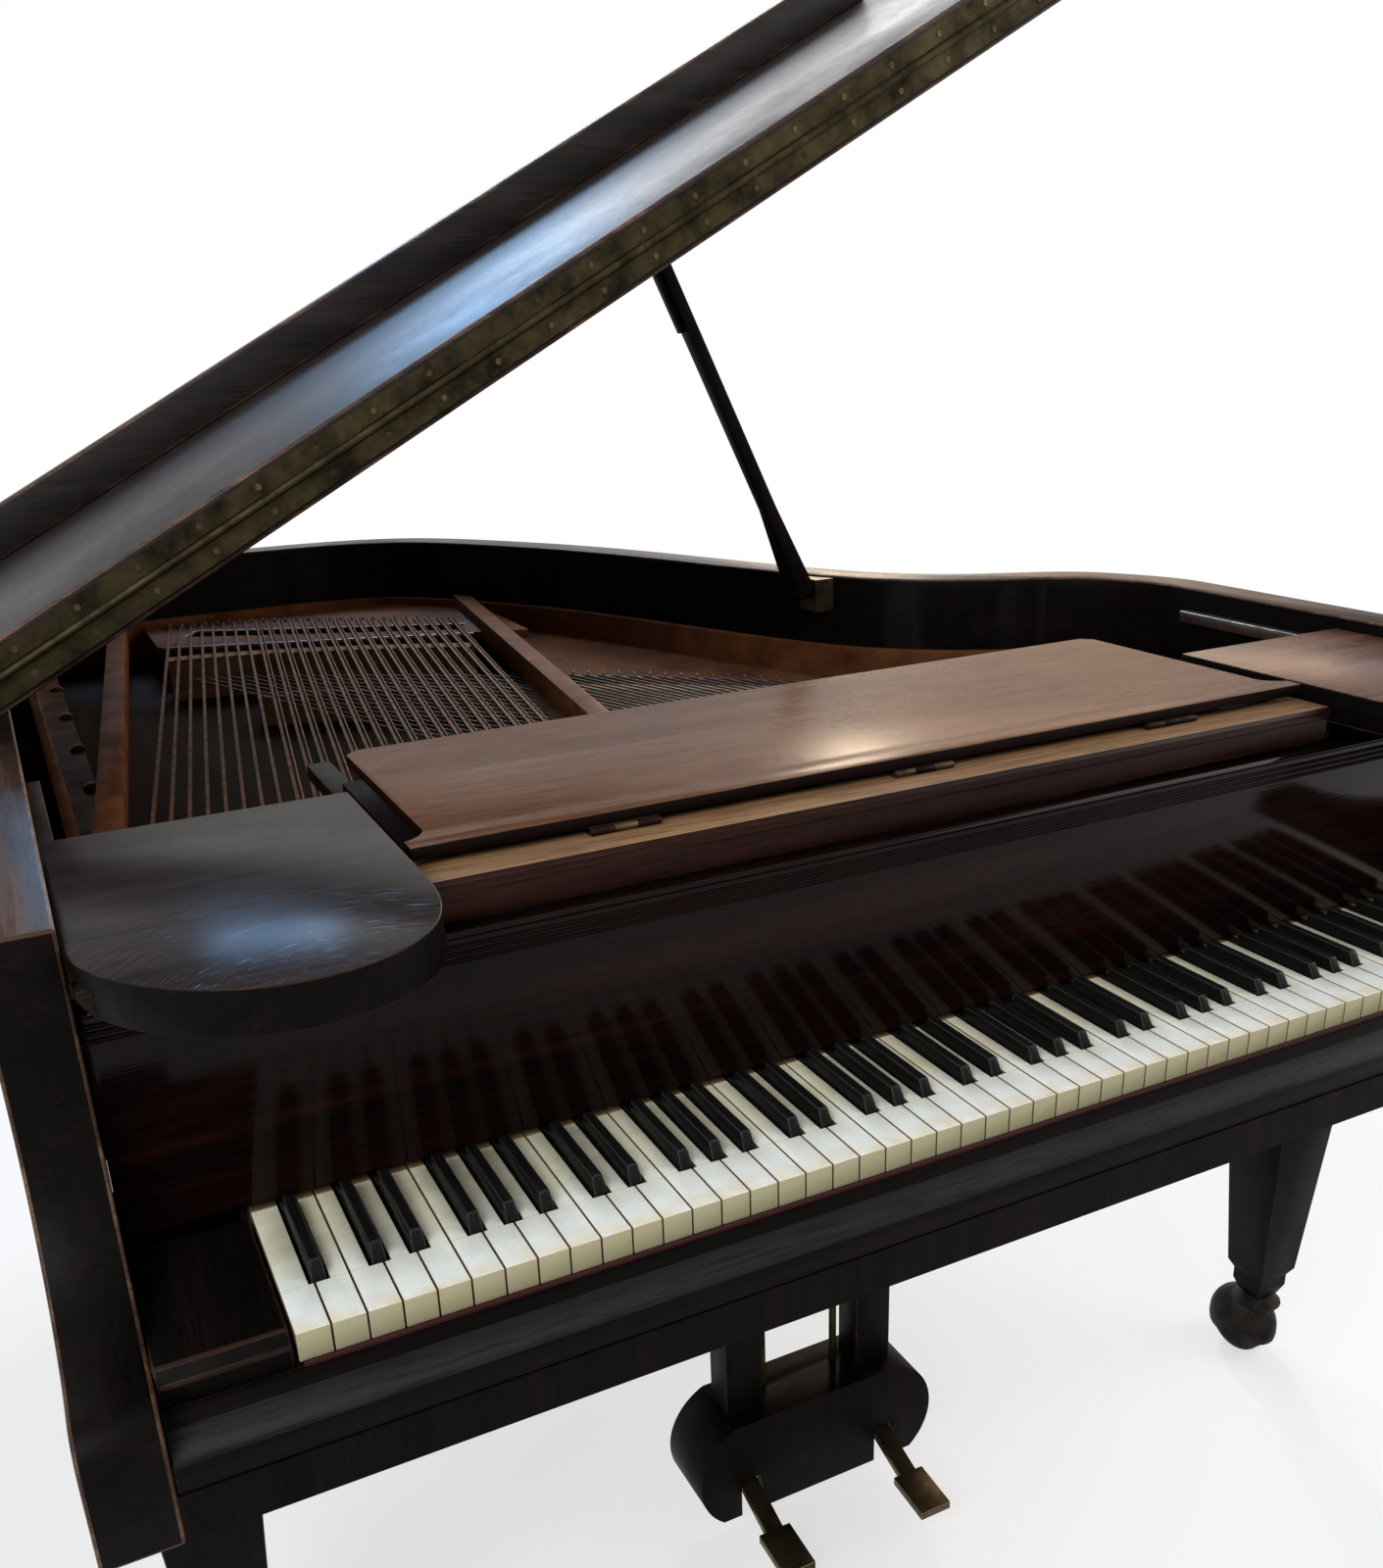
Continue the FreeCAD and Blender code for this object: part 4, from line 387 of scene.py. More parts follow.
felt = wool_felt("damper_felt", (0.02, 0.012, 0.01), (0.07, 0.045, 0.035))
red_felt = wool_felt("slip_felt", (0.025, 0.004, 0.005), (0.055, 0.01, 0.011))

# CAD nodes that are shown as they are
NODE_LOOKS = {
    "inner_rim": inner_wood,
    "back_frame": inner_wood,
    "keybed": leg_wood,
    "pin_block": inner_wood,
    "bridges": inner_wood,
    "key_frame": inner_wood,
    "hammer_action": inner_wood,
    "desk_tray": front_wood,
    "soundboard": shaded_board_wood,
    "treble_strings": string_steel,
    "bass_strings": copper,
    "prop_bracket": dark_brass,
    "dampers": felt,
    "lid_hinge_rim_leaves": brass,
    "lid_hinge_lid_leaves": brass,
    "fold_hinge_lid_leaf": dark_brass,
    "fold_hinge_flap_leaf": dark_brass,
    "pedal_rod_left": dark_brass,
    "pedal_rod_right": dark_brass,
}
for caster in CASTERS:
    NODE_LOOKS[f"caster_fork_{caster}"] = caster_iron
    NODE_LOOKS[f"caster_wheel_{caster}"] = caster_iron
for node, material in NODE_LOOKS.items():
    mesh = frame["nodes"][node].data
    mesh.materials.clear()
    mesh.materials.append(material)


# Pieces with eased edges
MERGE = 0.002 * MM
SLIVER = 0.01 * MM
FLAT = math.radians(0.5)
CORNER = 35.0
EDGE_STEPS = 2
END_KEY_NOTCH = 11 * MM


def islands(shape):
    """Groups of faces that hang together, the largest group first."""
    waiting = set(shape.faces)
    groups = []
    while waiting:
        group = set()
        edge = [waiting.pop()]
        while edge:
            face = edge.pop()
            group.add(face)
            near = {other for line in face.edges for other in line.link_faces}
            fresh = near & waiting
            waiting -= fresh
            edge.extend(fresh)
        groups.append(group)
    return sorted(groups, key=lambda faces: -sum(face.calc_area() for face in faces))


def straight_end_keys(shape):
    """Gives the lowest and the highest key a straight outer side, since no sharp lies beyond them."""
    left = min(vert.co.x for vert in shape.verts)
    right = max(vert.co.x for vert in shape.verts)
    for vert in shape.verts:
        if vert.co.x - left < END_KEY_NOTCH:
            vert.co.x = left
        elif right - vert.co.x < END_KEY_NOTCH:
            vert.co.x = right
    bmesh.ops.remove_doubles(shape, verts=shape.verts, dist=MERGE)
    bmesh.ops.dissolve_degenerate(shape, edges=shape.edges, dist=MERGE)


def eased(node, looks, width, edge_look=None, reshape=None):
    """A copy of a CAD node with rounded edges, which stands for it. The largest solid takes the first look."""
    shape = bmesh.new()
    shape.from_mesh(frame["nodes"][node].data)
    bmesh.ops.remove_doubles(shape, verts=shape.verts, dist=MERGE)
    if reshape:
        reshape(shape)
    bmesh.ops.dissolve_limit(shape, angle_limit=FLAT, verts=shape.verts, edges=shape.edges)
    for index, group in enumerate(islands(shape)):
        for face in group:
            face.material_index = min(index, len(looks) - 1)
    sharp = [e for e in shape.edges if e.is_manifold and e.calc_face_angle(0.0) > math.radians(CORNER)]
    bmesh.ops.bevel(
        shape, geom=sharp, offset=width, segments=EDGE_STEPS, profile=0.5,
        affect="EDGES", clamp_overlap=True, harden_normals=False, material=len(looks) if edge_look else -1)
    bmesh.ops.dissolve_degenerate(shape, edges=shape.edges, dist=SLIVER)
    mesh = bpy.data.meshes.new(f"eased_{node}")
    shape.to_mesh(mesh)
    shape.free()
    piece = placed(f"eased_{node}", mesh)
    for look in looks + ([edge_look] if edge_look else []):
        mesh.materials.append(look)
    smooth(mesh, CORNER)
    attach(piece, BODY_OF[node])
    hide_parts(node)
    return piece


def split_across(piece, line):
    """Cuts a piece's faces along a line across the keyboard, so that each side can have its own finish."""
    shape = bmesh.new()
    shape.from_mesh(piece.data)
    everything = shape.verts[:] + shape.edges[:] + shape.faces[:]
    bmesh.ops.bisect_plane(shape, geom=everything, plane_co=(0, line, 0), plane_no=(0, 1, 0))
    shape.to_mesh(piece.data)
    shape.free()


def refinish(piece, index, chosen):
    """Gives another of a piece's finishes to the chosen faces of its first one."""
    for face in piece.data.polygons:
        if face.material_index == 0 and chosen(face):
            face.material_index = index


EASED = (
    ("plate", iron, 1.4 * MM, pale_iron),
    ("key_blocks", case_wood, 2.0 * MM, black_edge_wood),
    ("stretcher", front_wood, 1.5 * MM, black_edge_wood),
    ("fallboard", fall_wood, 1.2 * MM, black_edge_wood),
    ("lid_main", lid_main_wood, 3.0 * MM, brown_edge_wood),
    ("lid_flap", lid_wood, 3.0 * MM, brown_edge_wood),
    ("prop_stick", leg_wood, 1.5 * MM, black_edge_wood),
    ("leg_front_left", leg_wood, 2.5 * MM, black_edge_wood),
    ("leg_front_right", leg_wood, 2.5 * MM, black_edge_wood),
    ("leg_rear", leg_wood, 2.5 * MM, black_edge_wood),
    ("lyre_posts", leg_wood, 2.0 * MM, black_edge_wood),
    ("lyre_box", leg_wood, 2.5 * MM, black_edge_wood),
    ("pedal_left", pedal_brass, 2.6 * MM, brass),
    ("pedal_right", pedal_brass, 2.6 * MM, brass),
)
for node, look, width, edge_look in EASED:
    eased(node, [look], width, edge_look)
for node in NATURAL_NODES:
    eased(node, [ivory], 0.7 * MM, reshape=straight_end_keys if node == "natural_keys" else None)
for node in SHARP_NODES:
    eased(node, [ebony], 1.1 * MM, ebony_edge)

SHELVES = (
    ("shelf_left", left_shelf_wood, black_edge_wood),
    ("shelf_right", right_shelf_wood, brown_edge_wood),
)
for node, look, edge_look in SHELVES:
    shelf = eased(node, [look, case_wood], 2.0 * MM, edge_look)
    refinish(shelf, 1, lambda face: face.normal.z < 0.5)

# The front of the slip's slope is painted grey where it faces up, a painted highlight
SLIP_BAND = 19 * MM
slip = eased("key_slip", [slip_wood, slip_highlight_wood], 2.0 * MM, slip_highlight_wood)
slip_band_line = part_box("key_slip")[0][1] + SLIP_BAND
split_across(slip, slip_band_line)
refinish(slip, 1, lambda face: face.normal.z > 0.3 and face.center.y < slip_band_line)

# The rim's top face is lighter and redder than its sides: worn lacquer, and a painted highlight where the top faces up
rim = eased("rim", [case_wood, rim_top_wood], 2.5 * MM, brown_edge_wood)
rim_top_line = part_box("rim")[1][2] - MM
refinish(rim, 1, lambda face: face.center.z > rim_top_line)

# Of the two upper slides along the rim, the right one is steel and the left one wood
SLIDE_LINE = 672 * MM
SLIDE_LEVEL = at(0, 0, 205).z
slides = eased("slide_runners", [case_wood, steel, ledge_front_wood], 0.8 * MM)
for face in slides.data.polygons:
    if abs(face.center.x - MIDDLE) > SLIDE_LINE and face.center.z > SLIDE_LEVEL:
        face.material_index = 1 if face.center.x > MIDDLE else 2
    else:
        face.material_index = 0

panel = eased("desk_panel", [desk_wood, screw_brass, desk_edge_shade_wood], 2.2 * MM)
# The panel's faces that do not face up take dark plum lacquer, a painted shade in the gap round the panel
refinish(panel, 2, lambda face: face.normal.z < 0.3)

ledge = eased("music_ledge", [ledge_wood, screw_brass, ledge_front_wood], 1.2 * MM, brown_edge_wood)
ledge_front_line = at(0, 165, 0).y
refinish(ledge, 2, lambda face: face.center.y < ledge_front_line or face.normal.z < 0.5)


# Repeated fittings
def new_tree(name, inputs):
    """A geometry tree with named inputs, and its first and last node."""
    tree = bpy.data.node_groups.new(name, "GeometryNodeTree")
    sockets = tree.interface
    sockets.new_socket("Geometry", in_out="INPUT", socket_type="NodeSocketGeometry")
    for label, kind in inputs:
        sockets.new_socket(label, in_out="INPUT", socket_type=f"NodeSocket{kind}")
    sockets.new_socket("Geometry", in_out="OUTPUT", socket_type="NodeSocketGeometry")
    return tree, tree.nodes.new("NodeGroupInput"), tree.nodes.new("NodeGroupOutput")


def wire_up(tree, start, end, links, made):
    """Links a tree's nodes and ends it: instances made real, and the finish set."""
    real = tree.nodes.new("GeometryNodeRealizeInstances")
    finish = tree.nodes.new("GeometryNodeSetMaterial")
    for source, target in (
        *links,
        (made, real.inputs["Geometry"]),
        (real.outputs["Geometry"], finish.inputs["Geometry"]),
        (start.outputs["Finish"], finish.inputs["Material"]),
        (finish.outputs["Geometry"], end.inputs["Geometry"]),
    ):
        tree.links.new(source, target)
    return tree


def row_tree():
    """Geometry nodes that set one small fitting at even steps along a route."""
    inputs = (("Fitting", "Object"), ("Count", "Int"), ("Facing", "Vector"), ("Finish", "Material"))
    tree, start, end = new_tree("fitting_row", inputs)
    make = tree.nodes.new
    curve = make("GeometryNodeMeshToCurve")
    steps = make("GeometryNodeResampleCurve")
    fitting = make("GeometryNodeObjectInfo")
    turn = make("FunctionNodeAlignRotationToVector")
    turn.axis = "Z"
    spread = make("GeometryNodeInstanceOnPoints")
    links = (
        (start.outputs["Geometry"], curve.inputs["Mesh"]),
        (curve.outputs["Curve"], steps.inputs["Curve"]),
        (start.outputs["Count"], steps.inputs["Count"]),
        (start.outputs["Fitting"], fitting.inputs["Object"]),
        (start.outputs["Facing"], turn.inputs["Vector"]),
        (steps.outputs["Curve"], spread.inputs["Points"]),
        (fitting.outputs["Geometry"], spread.inputs["Instance"]),
        (turn.outputs["Rotation"], spread.inputs["Rotation"]),
    )
    return wire_up(tree, start, end, links, spread.outputs["Instances"])


def wire_tree():
    """Geometry nodes that turn straight lines into round wires."""
    tree, start, end = new_tree("wire_run", (("Radius", "Float"), ("Finish", "Material")))
    make = tree.nodes.new
    curve = make("GeometryNodeMeshToCurve")
    section = make("GeometryNodeCurvePrimitiveCircle")
    section.inputs["Resolution"].default_value = 8
    body = make("GeometryNodeCurveToMesh")
    body.inputs["Fill Caps"].default_value = True
    links = (
        (start.outputs["Geometry"], curve.inputs["Mesh"]),
        (start.outputs["Radius"], section.inputs["Radius"]),
        (curve.outputs["Curve"], body.inputs["Curve"]),
        (section.outputs["Curve"], body.inputs["Profile Curve"]),
    )
    return wire_up(tree, start, end, links, body.outputs["Mesh"])


FITTING_ROW = row_tree()
WIRE_RUN = wire_tree()


def made_by_nodes(name, lines, tree, values, body):
    """Runs a tree on guide lines and keeps the result as one plain mesh that rides on a body."""
    places, edges = [], []
    for line in lines:
        first = len(places)
        places += [tuple(place) for place in line]
        edges += [(i, i + 1) for i in range(first, len(places) - 1)]
    mesh = bpy.data.meshes.new(name)
    mesh.from_pydata(places, edges, [])
    guide = placed(f"{name}_guide", mesh)
    nodes = guide.modifiers.new("nodes", "NODES")
    nodes.node_group = tree
    sockets = {item.name: item.identifier for item in tree.interface.items_tree if item.in_out == "INPUT"}
    for key, value in values.items():
        nodes[sockets[key]] = value
    bpy.context.view_layer.update()
    made = bpy.data.meshes.new_from_object(guide.evaluated_get(bpy.context.evaluated_depsgraph_get()))
    made.name = name
    bpy.data.objects.remove(guide)
    piece = placed(name, made)
    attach(piece, body)
    return piece


def fitting_row(name, fitting, route, count, facing, finish, body):
    """Fittings at even steps along a route."""
    values = {"Fitting": fitting, "Count": count, "Facing": tuple(facing), "Finish": finish}
    return made_by_nodes(name, [route], FITTING_ROW, values, body)


def wires(name, lines, radius, finish):
    """Round wires on the case, along straight lines."""
    return made_by_nodes(name, lines, WIRE_RUN, {"Radius": radius, "Finish": finish}, "case")


def solid(name, shape):
    """An object from a closed bmesh."""
    mesh = bpy.data.meshes.new(name)
    bmesh.ops.recalc_face_normals(shape, faces=shape.faces)
    shape.to_mesh(mesh)
    shape.free()
    return placed(name, mesh)


def prism(shape, outline, low, high):
    """An upright prism in a bmesh, from a closed outline in plan."""
    floor = [shape.verts.new((x, y, low)) for x, y in outline]
    roof = [shape.verts.new((x, y, high)) for x, y in outline]
    shape.faces.new(list(reversed(floor)))
    shape.faces.new(roof)
    for i in range(len(outline)):
        j = (i + 1) % len(outline)
        shape.faces.new((floor[i], floor[j], roof[j], roof[i]))


def round_places(radius, angles):
    return [(radius * math.cos(angle), radius * math.sin(angle)) for angle in angles]


def circle(radius, steps):
    return round_places(radius, [math.tau * i / steps for i in range(steps)])


def rectangle(half_wide, half_deep):
    x, y = half_wide, half_deep
    return [(-x, -y), (x, -y), (x, y), (-x, y)]


def slotted_screw(radius, rise):
    """A flat screw head whose slot runs right across."""
    shape = bmesh.new()
    slot_floor = rise * 0.3
    slot_turn = math.asin(0.16)
    prism(shape, circle(radius, 12), -rise, slot_floor)
    for base in (0.0, math.pi):
        angles = [base + slot_turn + (math.pi - 2 * slot_turn) * i / 7 for i in range(8)]
        prism(shape, round_places(radius, angles), slot_floor, rise)
    return solid("slotted_screw", shape)


def round_pin(radius, height):
    """A short steel pin with a stepped top."""
    shape = bmesh.new()
    shoulder = height * 0.86
    prism(shape, circle(radius, 8), 0.0, shoulder)
    prism(shape, circle(radius * 0.62, 8), shoulder, height)
    return solid("round_pin", shape)


def tuning_pin(radius, height):
    """A tuning pin with a square head."""
    shape = bmesh.new()
    shank = height * 0.62
    prism(shape, circle(radius, 8), 0.0, shank)
    prism(shape, circle(radius * 0.95, 4), shank, height)
    return solid("tuning_pin", shape)


def agraffe(wide, deep, tall):
    """A small brass string guide with a narrower shoulder."""
    shape = bmesh.new()
    shoulder = tall * 0.7
    prism(shape, rectangle(wide, deep), 0.0, shoulder)
    prism(shape, rectangle(wide * 0.7, deep * 0.8), shoulder, tall)
    return solid("agraffe", shape)


def bolt_head(radius, rise):
    """A domed bolt head of three steps."""
    shape = bmesh.new()
    for share, low, high in ((1.0, 0.0, 0.4), (0.86, 0.4, 0.75), (0.55, 0.75, 1.0)):
        prism(shape, circle(radius * share, 12), rise * low, rise * high)
    return solid("bolt_head", shape)


# Strings: where they end, in shares of the inner half width and of the length
INNER_HALF = 697.0
TAIL = 1850.0
STRING_FRONT = 418.0
BASS_NOTES = 26
FIRST_DOUBLE = 8
DOUBLE_GAP = 5.6
DOUBLE_RADIUS = 1.3 * MM
HITCH_STEPS = 16
HITCH_FROM = 0.43


def bass_start(share):
    """Where a bass string starts in front of its guide."""
    return INNER_HALF * (-0.90 + 0.64 * share), STRING_FRONT


def bass_end(share):
    """Where a bass string ends on the hitch web."""
    return INNER_HALF * (-0.62 + 0.60 * share), TAIL * (0.943 - 0.115 * share ** 1.5)


def treble_end(share):
    """Where a treble string ends on the plate."""
    return INNER_HALF * (-0.64 + 1.49 * share), TAIL * (0.76 - 0.435 * share ** 1.3)


string_low, string_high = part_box("bass_strings")
string_level = ((string_low[2] + string_high[2]) / 2 - KEY_TOP) / MM
second_wires = []
for note in range(FIRST_DOUBLE, BASS_NOTES):
    share = note / (BASS_NOTES - 1)
    ends = (bass_start(share), bass_end(share))
    second_wires.append([at(x + DOUBLE_GAP, y, string_level) for x, y in ends])
wires("second_bass_wires", second_wires, DOUBLE_RADIUS, copper)

# Bright beads round the slot of the bass hitch web and along its front edge
BEAD_RADIUS = 3.0 * MM
WEB_BEAD_LEVEL = 142.5
WEB_BAND = 80.0
WEB_SLOT_FORWARD = 0.9 * WEB_BAND
WEB_SLOT_HALF = 28.0
WEB_FRONT_SHARES = (0.01, 0.85)
web_left, web_right = (Vector(bass_end(share)) for share in (0.0, 1.0))
slot_left = web_left + Vector((WEB_BAND / 4, -WEB_SLOT_FORWARD))
slot_right = web_right + Vector((0.0, -WEB_SLOT_FORWARD))
slot_side = (slot_right - slot_left).orthogonal().normalized() * WEB_SLOT_HALF
slot_corners = (slot_left + slot_side, slot_right + slot_side, slot_right - slot_side, slot_left - slot_side)
front_left = web_left + Vector((-WEB_BAND / 2, -2 * WEB_BAND))
front_right = web_right + Vector((WEB_BAND, -2 * WEB_BAND))
front_edge = [front_left.lerp(front_right, share) for share in WEB_FRONT_SHARES]
web_lines = [[at(*place, WEB_BEAD_LEVEL) for place in line] for line in ([*slot_corners, slot_corners[0]], front_edge)]
wires("web_beads", web_lines, BEAD_RADIUS, bead_bronze)

BASS_HITCH_LEVEL = 140
TREBLE_HITCH_LEVEL = 120
TREBLE_HITCH_PINS = 36
string_pin = round_pin(2.2 * MM, 12 * MM)
hitch_steps = [i / HITCH_STEPS for i in range(HITCH_STEPS + 1)]
bass_route = [at(*bass_end(step), BASS_HITCH_LEVEL) for step in hitch_steps]
fitting_row("bass_hitch_pins", string_pin, bass_route, BASS_NOTES, UP, steel, "case")
treble_route = [at(*treble_end(HITCH_FROM + (1 - HITCH_FROM) * step), TREBLE_HITCH_LEVEL) for step in hitch_steps]
fitting_row("treble_hitch_pins", string_pin, treble_route, TREBLE_HITCH_PINS, UP, steel, "case")

PIN_LINES = (248, 292, 336, 380)
PIN_LEAD = 6
PIN_ENDS = (-600, 608)
PIN_LEVEL = 116
PINS_IN_LINE = 54
wrest_pin = tuning_pin(3.4 * MM, 26 * MM)
for index, line in enumerate(PIN_LINES):
    route = [at(x + PIN_LEAD * index, line, PIN_LEVEL) for x in PIN_ENDS]
    fitting_row(f"tuning_pins_{index}", wrest_pin, route, PINS_IN_LINE, UP, steel, "case")

guide_stud = agraffe(3.6 * MM, 3.0 * MM, 12 * MM)
frame_bolt = bolt_head(9 * MM, 6 * MM)
STRAIGHT_ROWS = (
    ("bass_agraffes", guide_stud, [at(-622, 424, 139), at(-185, 424, 139)], BASS_NOTES, brass, "brass"),
    ("treble_agraffes", guide_stud, [at(-58, 424, 119), at(604, 424, 119)], 62, brass, "brass"),
    ("left_frame_bolts", frame_bolt, [at(-630, 560, 116), at(-630, 1500, 116)], 6, pale_iron, "bronze_iron"),
)
for name, fitting, route, count, finish, slot in STRAIGHT_ROWS:
    fitting_row(name, fitting, route, count, UP, finish, "case")

# Screws along the fold hinge, on the two leaves that show in front
FOLD_HALF = 715 * MM
LEAF_FACE = 2.4 * MM
LEAF_MIDDLE = 13 * MM
FOLD_SCREWS = 23
fold_at = Vector(JOINTS["lid_fold"]["pos_m"])
fold_axis = -Vector(JOINTS["lid_fold"]["axis"])
fold_up = fold_axis.cross(FORWARD).normalized() * -1
hinge_screw = slotted_screw(3.0 * MM, 0.7 * MM)
for body, rise in (("lid", -LEAF_MIDDLE), ("flap", LEAF_MIDDLE)):
    middle = fold_at + fold_up * rise - FORWARD * LEAF_FACE
    route = [middle - fold_axis * FOLD_HALF, middle + fold_axis * FOLD_HALF]
    fitting_row(f"fold_screws_{body}", hinge_screw, route, FOLD_SCREWS, FORWARD, screw_brass, body)

for fitting in (string_pin, wrest_pin, guide_stud, frame_bolt, hinge_screw):
    bpy.data.objects.remove(fitting)


# Mouldings
def moulding(name, outline, half, look, body):
    """A strip across the keyboard with a given side outline, as (Y, Z) places."""
    shape = bmesh.new()
    left, right = ([shape.verts.new(at(x, y, z)) for y, z in outline] for x in (-half, half))
    shape.faces.new(left)
    shape.faces.new(list(reversed(right)))
    for i in range(len(outline)):
        j = (i + 1) % len(outline)
        shape.faces.new((left[i], right[i], right[j], left[j]))
    piece = solid(name, shape)
    piece.data.materials.append(look)
    smooth(piece.data, 40)
    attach(piece, body)
    return piece


def half_round(y, z, radius, steps=8):
    """Outline of a half-round bead that stands forward of a face."""
    angles = [math.pi / 2 + math.pi * i / steps for i in range(steps + 1)]
    return [(y + across, z + up) for across, up in round_places(radius, angles)]


FALL_FACE = 150.2
FALL_HALF = 694.0
FALL_BEADS = (172.0, 166.5, 161.0)
FALL_BEAD_RADIUS = 1.9
for index, z in enumerate(FALL_BEADS):
    bead = half_round(FALL_FACE, z, FALL_BEAD_RADIUS)
    moulding(f"fallboard_bead_{index}", bead, FALL_HALF, front_wood, "key_cover")

# Strip that closes the slot between the keybed and the belly rail, with its edges broken
BED_HALF = 696.5
BED_BACK = 440.3
BELLY_FRONT = 491.7
BED_LOW = -94.8
BED_TOP = -60.2
strip_outline = [
    (BED_BACK, BED_LOW + 2), (BED_BACK + 2, BED_LOW), (BELLY_FRONT - 2, BED_LOW), (BELLY_FRONT, BED_LOW + 2),
    (BELLY_FRONT, BED_TOP - 8), (BELLY_FRONT - 5.7, BED_TOP), (BED_BACK, BED_TOP)]
moulding("keybed_back_strip", strip_outline, BED_HALF, leg_wood, "case")

# Red felt between the key slip and the key fronts
FELT_HALF = 608.0
slip_top = (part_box("key_slip")[1][2] - KEY_TOP) / MM
felt_low, felt_top = slip_top - 1.0, slip_top + 0.9
felt_outline = [(-5.2, felt_low), (-1.4, felt_low), (-1.4, felt_top), (-4.6, felt_top)]
moulding("slip_felt", felt_outline, FELT_HALF, red_felt, "case")

# Round hoods over the caster wheels
HOOD_RINGS = 9
HOOD_SIDES = 28
HOOD_SIZE = Vector((38, 49, 49)) * MM
HOOD_FROM = -14
HOOD_TO = 90
HOOD_WALL = 2 * MM


def caster_hood(caster):
    """A rounded hood round the upper part of a wheel, which turns with the fork."""
    low, high = (Vector(corner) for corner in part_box(f"caster_wheel_{caster}"))
    middle = (low + high) / 2
    shape = bmesh.new()
    rings = []
    for step in range(HOOD_RINGS):
        rise = math.radians(HOOD_FROM + (HOOD_TO - HOOD_FROM) * step / HOOD_RINGS)
        level = middle.z + HOOD_SIZE.z * math.sin(rise)
        rings.append([
            shape.verts.new((middle.x + HOOD_SIZE.x * x, middle.y + HOOD_SIZE.y * y, level))
            for x, y in circle(math.cos(rise), HOOD_SIDES)])
    crown = shape.verts.new((middle.x, middle.y, middle.z + HOOD_SIZE.z))
    sides = [(i, (i + 1) % HOOD_SIDES) for i in range(HOOD_SIDES)]
    for near, far in zip(rings, rings[1:]):
        for i, j in sides:
            shape.faces.new((near[i], near[j], far[j], far[i]))
    for i, j in sides:
        shape.faces.new((rings[-1][i], rings[-1][j], crown))
    bmesh.ops.recalc_face_normals(shape, faces=shape.faces)
    bmesh.ops.solidify(shape, geom=shape.faces[:], thickness=HOOD_WALL)
    piece = solid(f"caster_hood_{caster}", shape)
    piece.data.materials.append(caster_iron)
    smooth(piece.data, 50)
    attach(piece, f"fork_{caster}")


for caster in CASTERS:
    caster_hood(caster)


# Floor, light and camera
FLOOR_REACH = 14.0
FLOOR_GLOW = 0.6
FLOOR_FADE = (1.6, 3.6)
FLOOR_TONES = ((0.86, 0.86, 0.86), (0.9, 0.9, 0.9))
ROOM_LIGHT = 0.42
# Place, aim, size, power and tint of each lamp
LAMPS = {
    "key_lamp": ((-2.6, -2.6, 3.4), (0.0, 0.0, 0.7), (2.2, 2.2), 120.0, (0.86, 0.93, 1.0)),
    "fill_lamp": ((3.0, -2.0, 2.6), (0.0, 0.0, 0.7), (2.4, 2.4), 50.0, (1.0, 0.97, 0.93)),
    "back_lamp": ((1.5, 3.2, 3.4), (0.0, 0.2, 0.9), (2.4, 1.6), 50.0, (1.0, 1.0, 1.0)),
    "warm_lamp": (at(1900, 3400, 1480), at(-93, 178, 262), (0.2, 0.2), 32.0, (1.0, 0.78, 0.56)),
    "warm_wash": (at(2800, 3180, 1300), at(224, 262, 262), (1.5, 0.9), 15.0, (1.0, 0.62, 0.36)),
    "cool_lamp": (at(-30, 3550, 2330), at(-585, -19, 262), (0.9, 0.8), 40.0, (0.3, 0.58, 1.0)),
}
CAMERA_PLACE = at(-694.5, -778.78, 585.16)
CAMERA_TURN = (68.436, 1.893, -26.587)
CAMERA_LENS = 32.644
CAMERA_SHIFT = (-0.0028, 0.0669)
SENSOR_WIDTH = 36.0


def seen_directly(nodes, links):
    """One for rays from the eye, from a mirror or through glass, nought for rays of light."""
    rays = nodes.new("ShaderNodeLightPath").outputs
    seen = rays["Is Camera Ray"]
    for other in ("Is Glossy Ray", "Is Transmission Ray"):
        either = nodes.new("ShaderNodeMath")
        either.operation = "MAXIMUM"
        links.new(seen, either.inputs[0])
        links.new(rays[other], either.inputs[1])
        seen = either.outputs["Value"]
    return seen


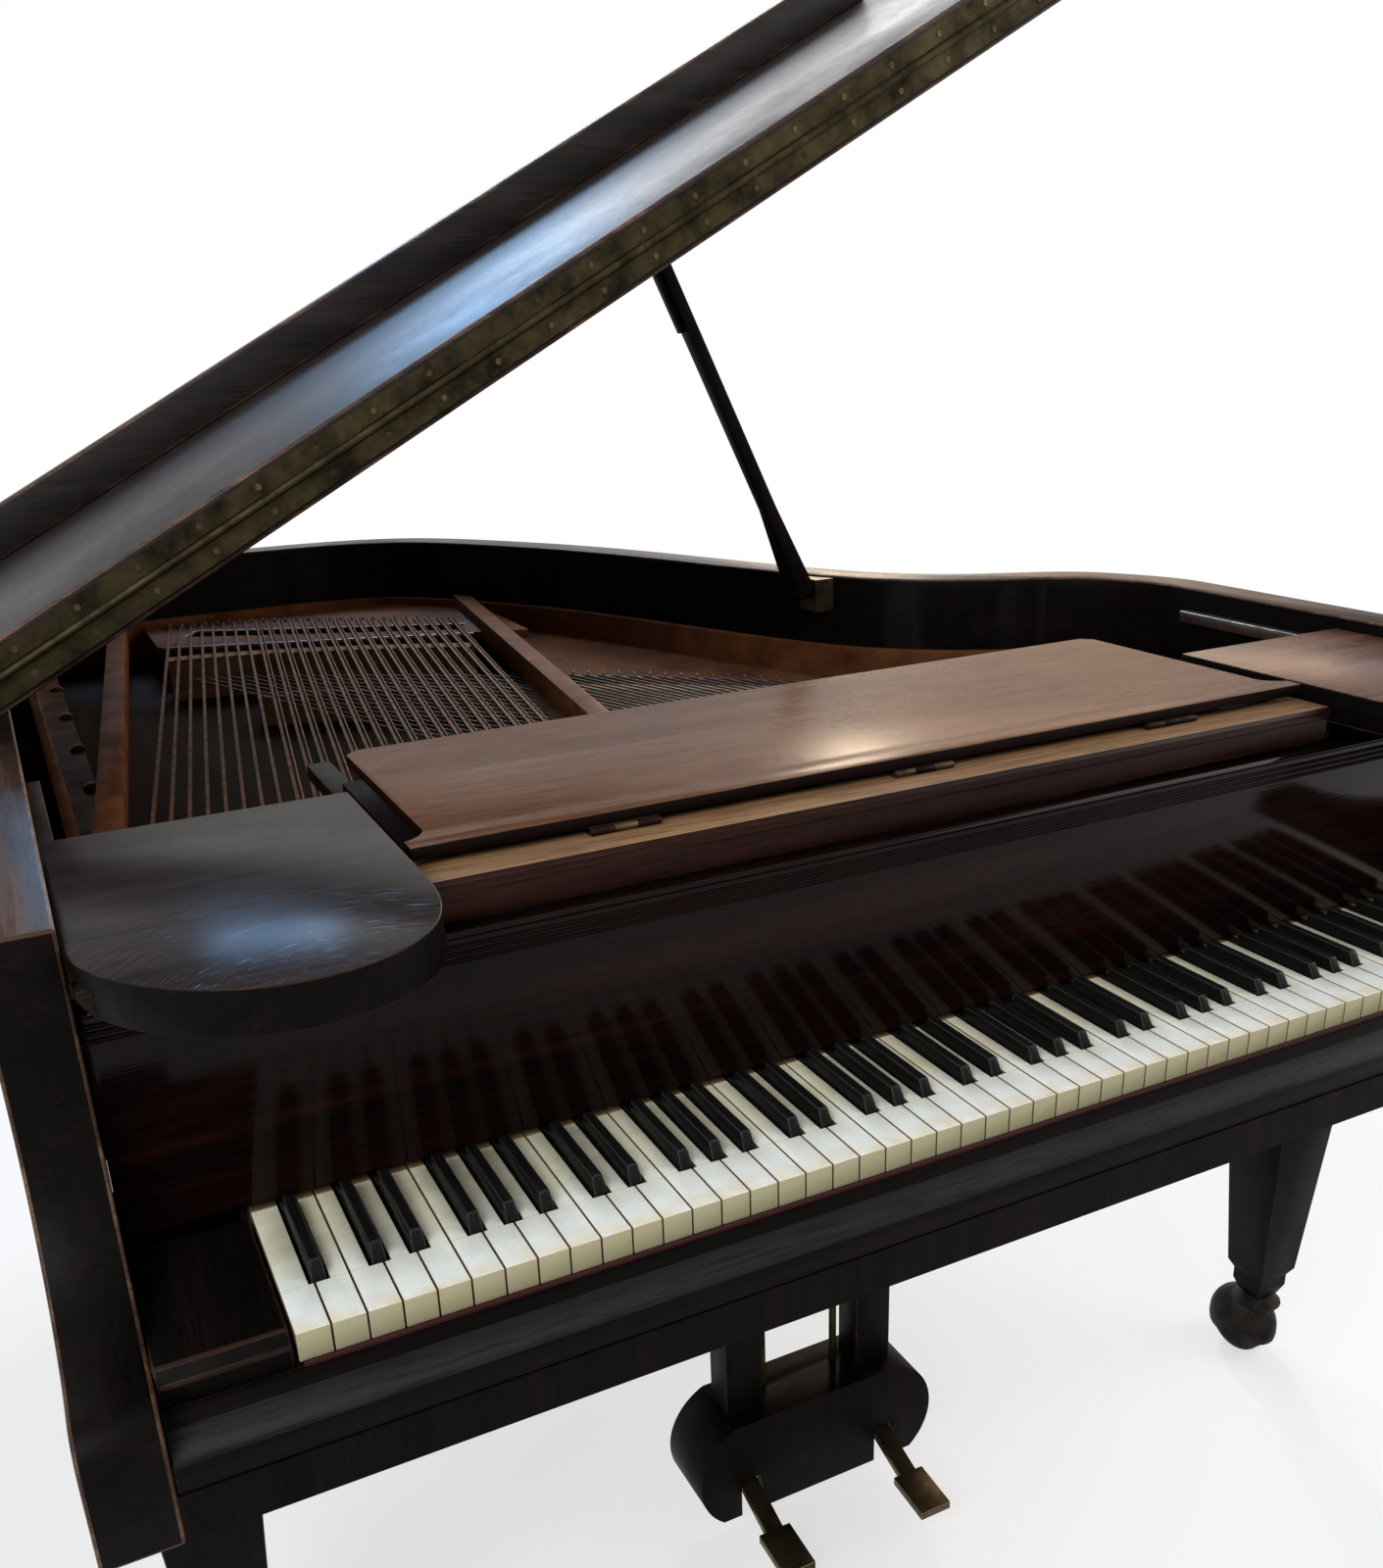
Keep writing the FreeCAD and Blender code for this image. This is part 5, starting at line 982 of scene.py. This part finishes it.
def stage_floor():
    """A pale floor that keeps the piano's shadow and fades to white further off."""
    shape = bmesh.new()
    bmesh.ops.create_grid(shape, x_segments=1, y_segments=1, size=FLOOR_REACH)
    floor = solid("floor", shape)
    look = Shading("pale_floor")
    tone = look.noise(look.place, scale=0.7, detail=2.0)
    look.join(look.ramp(tone, (0.3, FLOOR_TONES[0]), (0.7, FLOOR_TONES[1])), look.shader, "Base Color")
    look.set(Roughness=0.9, Specular_IOR_Level=0.1)
    distance = look.nodes.new("ShaderNodeVectorMath")
    distance.operation = "LENGTH"
    look.join(look.place, distance, "Vector")
    fade = look.span(distance.outputs["Value"], FLOOR_GLOW, 1.0, *FLOOR_FADE)
    share = look.math("MULTIPLY", fade, seen_directly(look.nodes, look.links))
    glow = look.nodes.new("ShaderNodeEmission")
    both = look.nodes.new("ShaderNodeMixShader")
    look.join(share, both, "Fac")
    look.links.new(look.shader.outputs["BSDF"], both.inputs[1])
    look.links.new(glow.outputs["Emission"], both.inputs[2])
    look.join(both.outputs["Shader"], look.nodes["Material Output"], "Surface")
    floor.data.materials.append(look.material)


def white_world():
    """White to the eye and in reflections, and a softer light on the piano."""
    world = bpy.data.worlds.new("studio")
    bpy.context.scene.world = world
    world.use_nodes = True
    nodes = world.node_tree.nodes
    links = world.node_tree.links
    back = nodes["Background"]
    level = nodes.new("ShaderNodeMapRange")
    level.inputs["To Min"].default_value = ROOM_LIGHT
    level.inputs["To Max"].default_value = 1.0
    links.new(seen_directly(nodes, links), level.inputs["Value"])
    links.new(level.outputs["Result"], back.inputs["Strength"])
    back.inputs["Color"].default_value = (1.0, 1.0, 1.0, 1.0)


def soft_lamp(name, place, aim, size, power, tint):
    """A rectangular lamp at a place, turned to its aim."""
    data = bpy.data.lights.new(name, "AREA")
    data.shape = "RECTANGLE"
    data.size, data.size_y = size
    data.energy = power
    data.color = tint
    lamp = placed(name, data)
    lamp.location = place
    lamp.rotation_euler = (Vector(aim) - Vector(place)).to_track_quat("-Z", "Y").to_euler()


def photo_camera():
    """The camera at the photograph's place."""
    data = bpy.data.cameras.new("photo_camera")
    data.sensor_width = SENSOR_WIDTH
    data.sensor_fit = "AUTO"
    data.lens = CAMERA_LENS
    data.shift_x, data.shift_y = CAMERA_SHIFT
    camera = placed("photo_camera", data)
    camera.location = CAMERA_PLACE
    camera.rotation_euler = Euler([math.radians(angle) for angle in CAMERA_TURN])
    bpy.context.scene.camera = camera


stage_floor()
white_world()
for name, values in LAMPS.items():
    soft_lamp(name, *values)
photo_camera()
bpy.context.scene.view_settings.view_transform = "Standard"
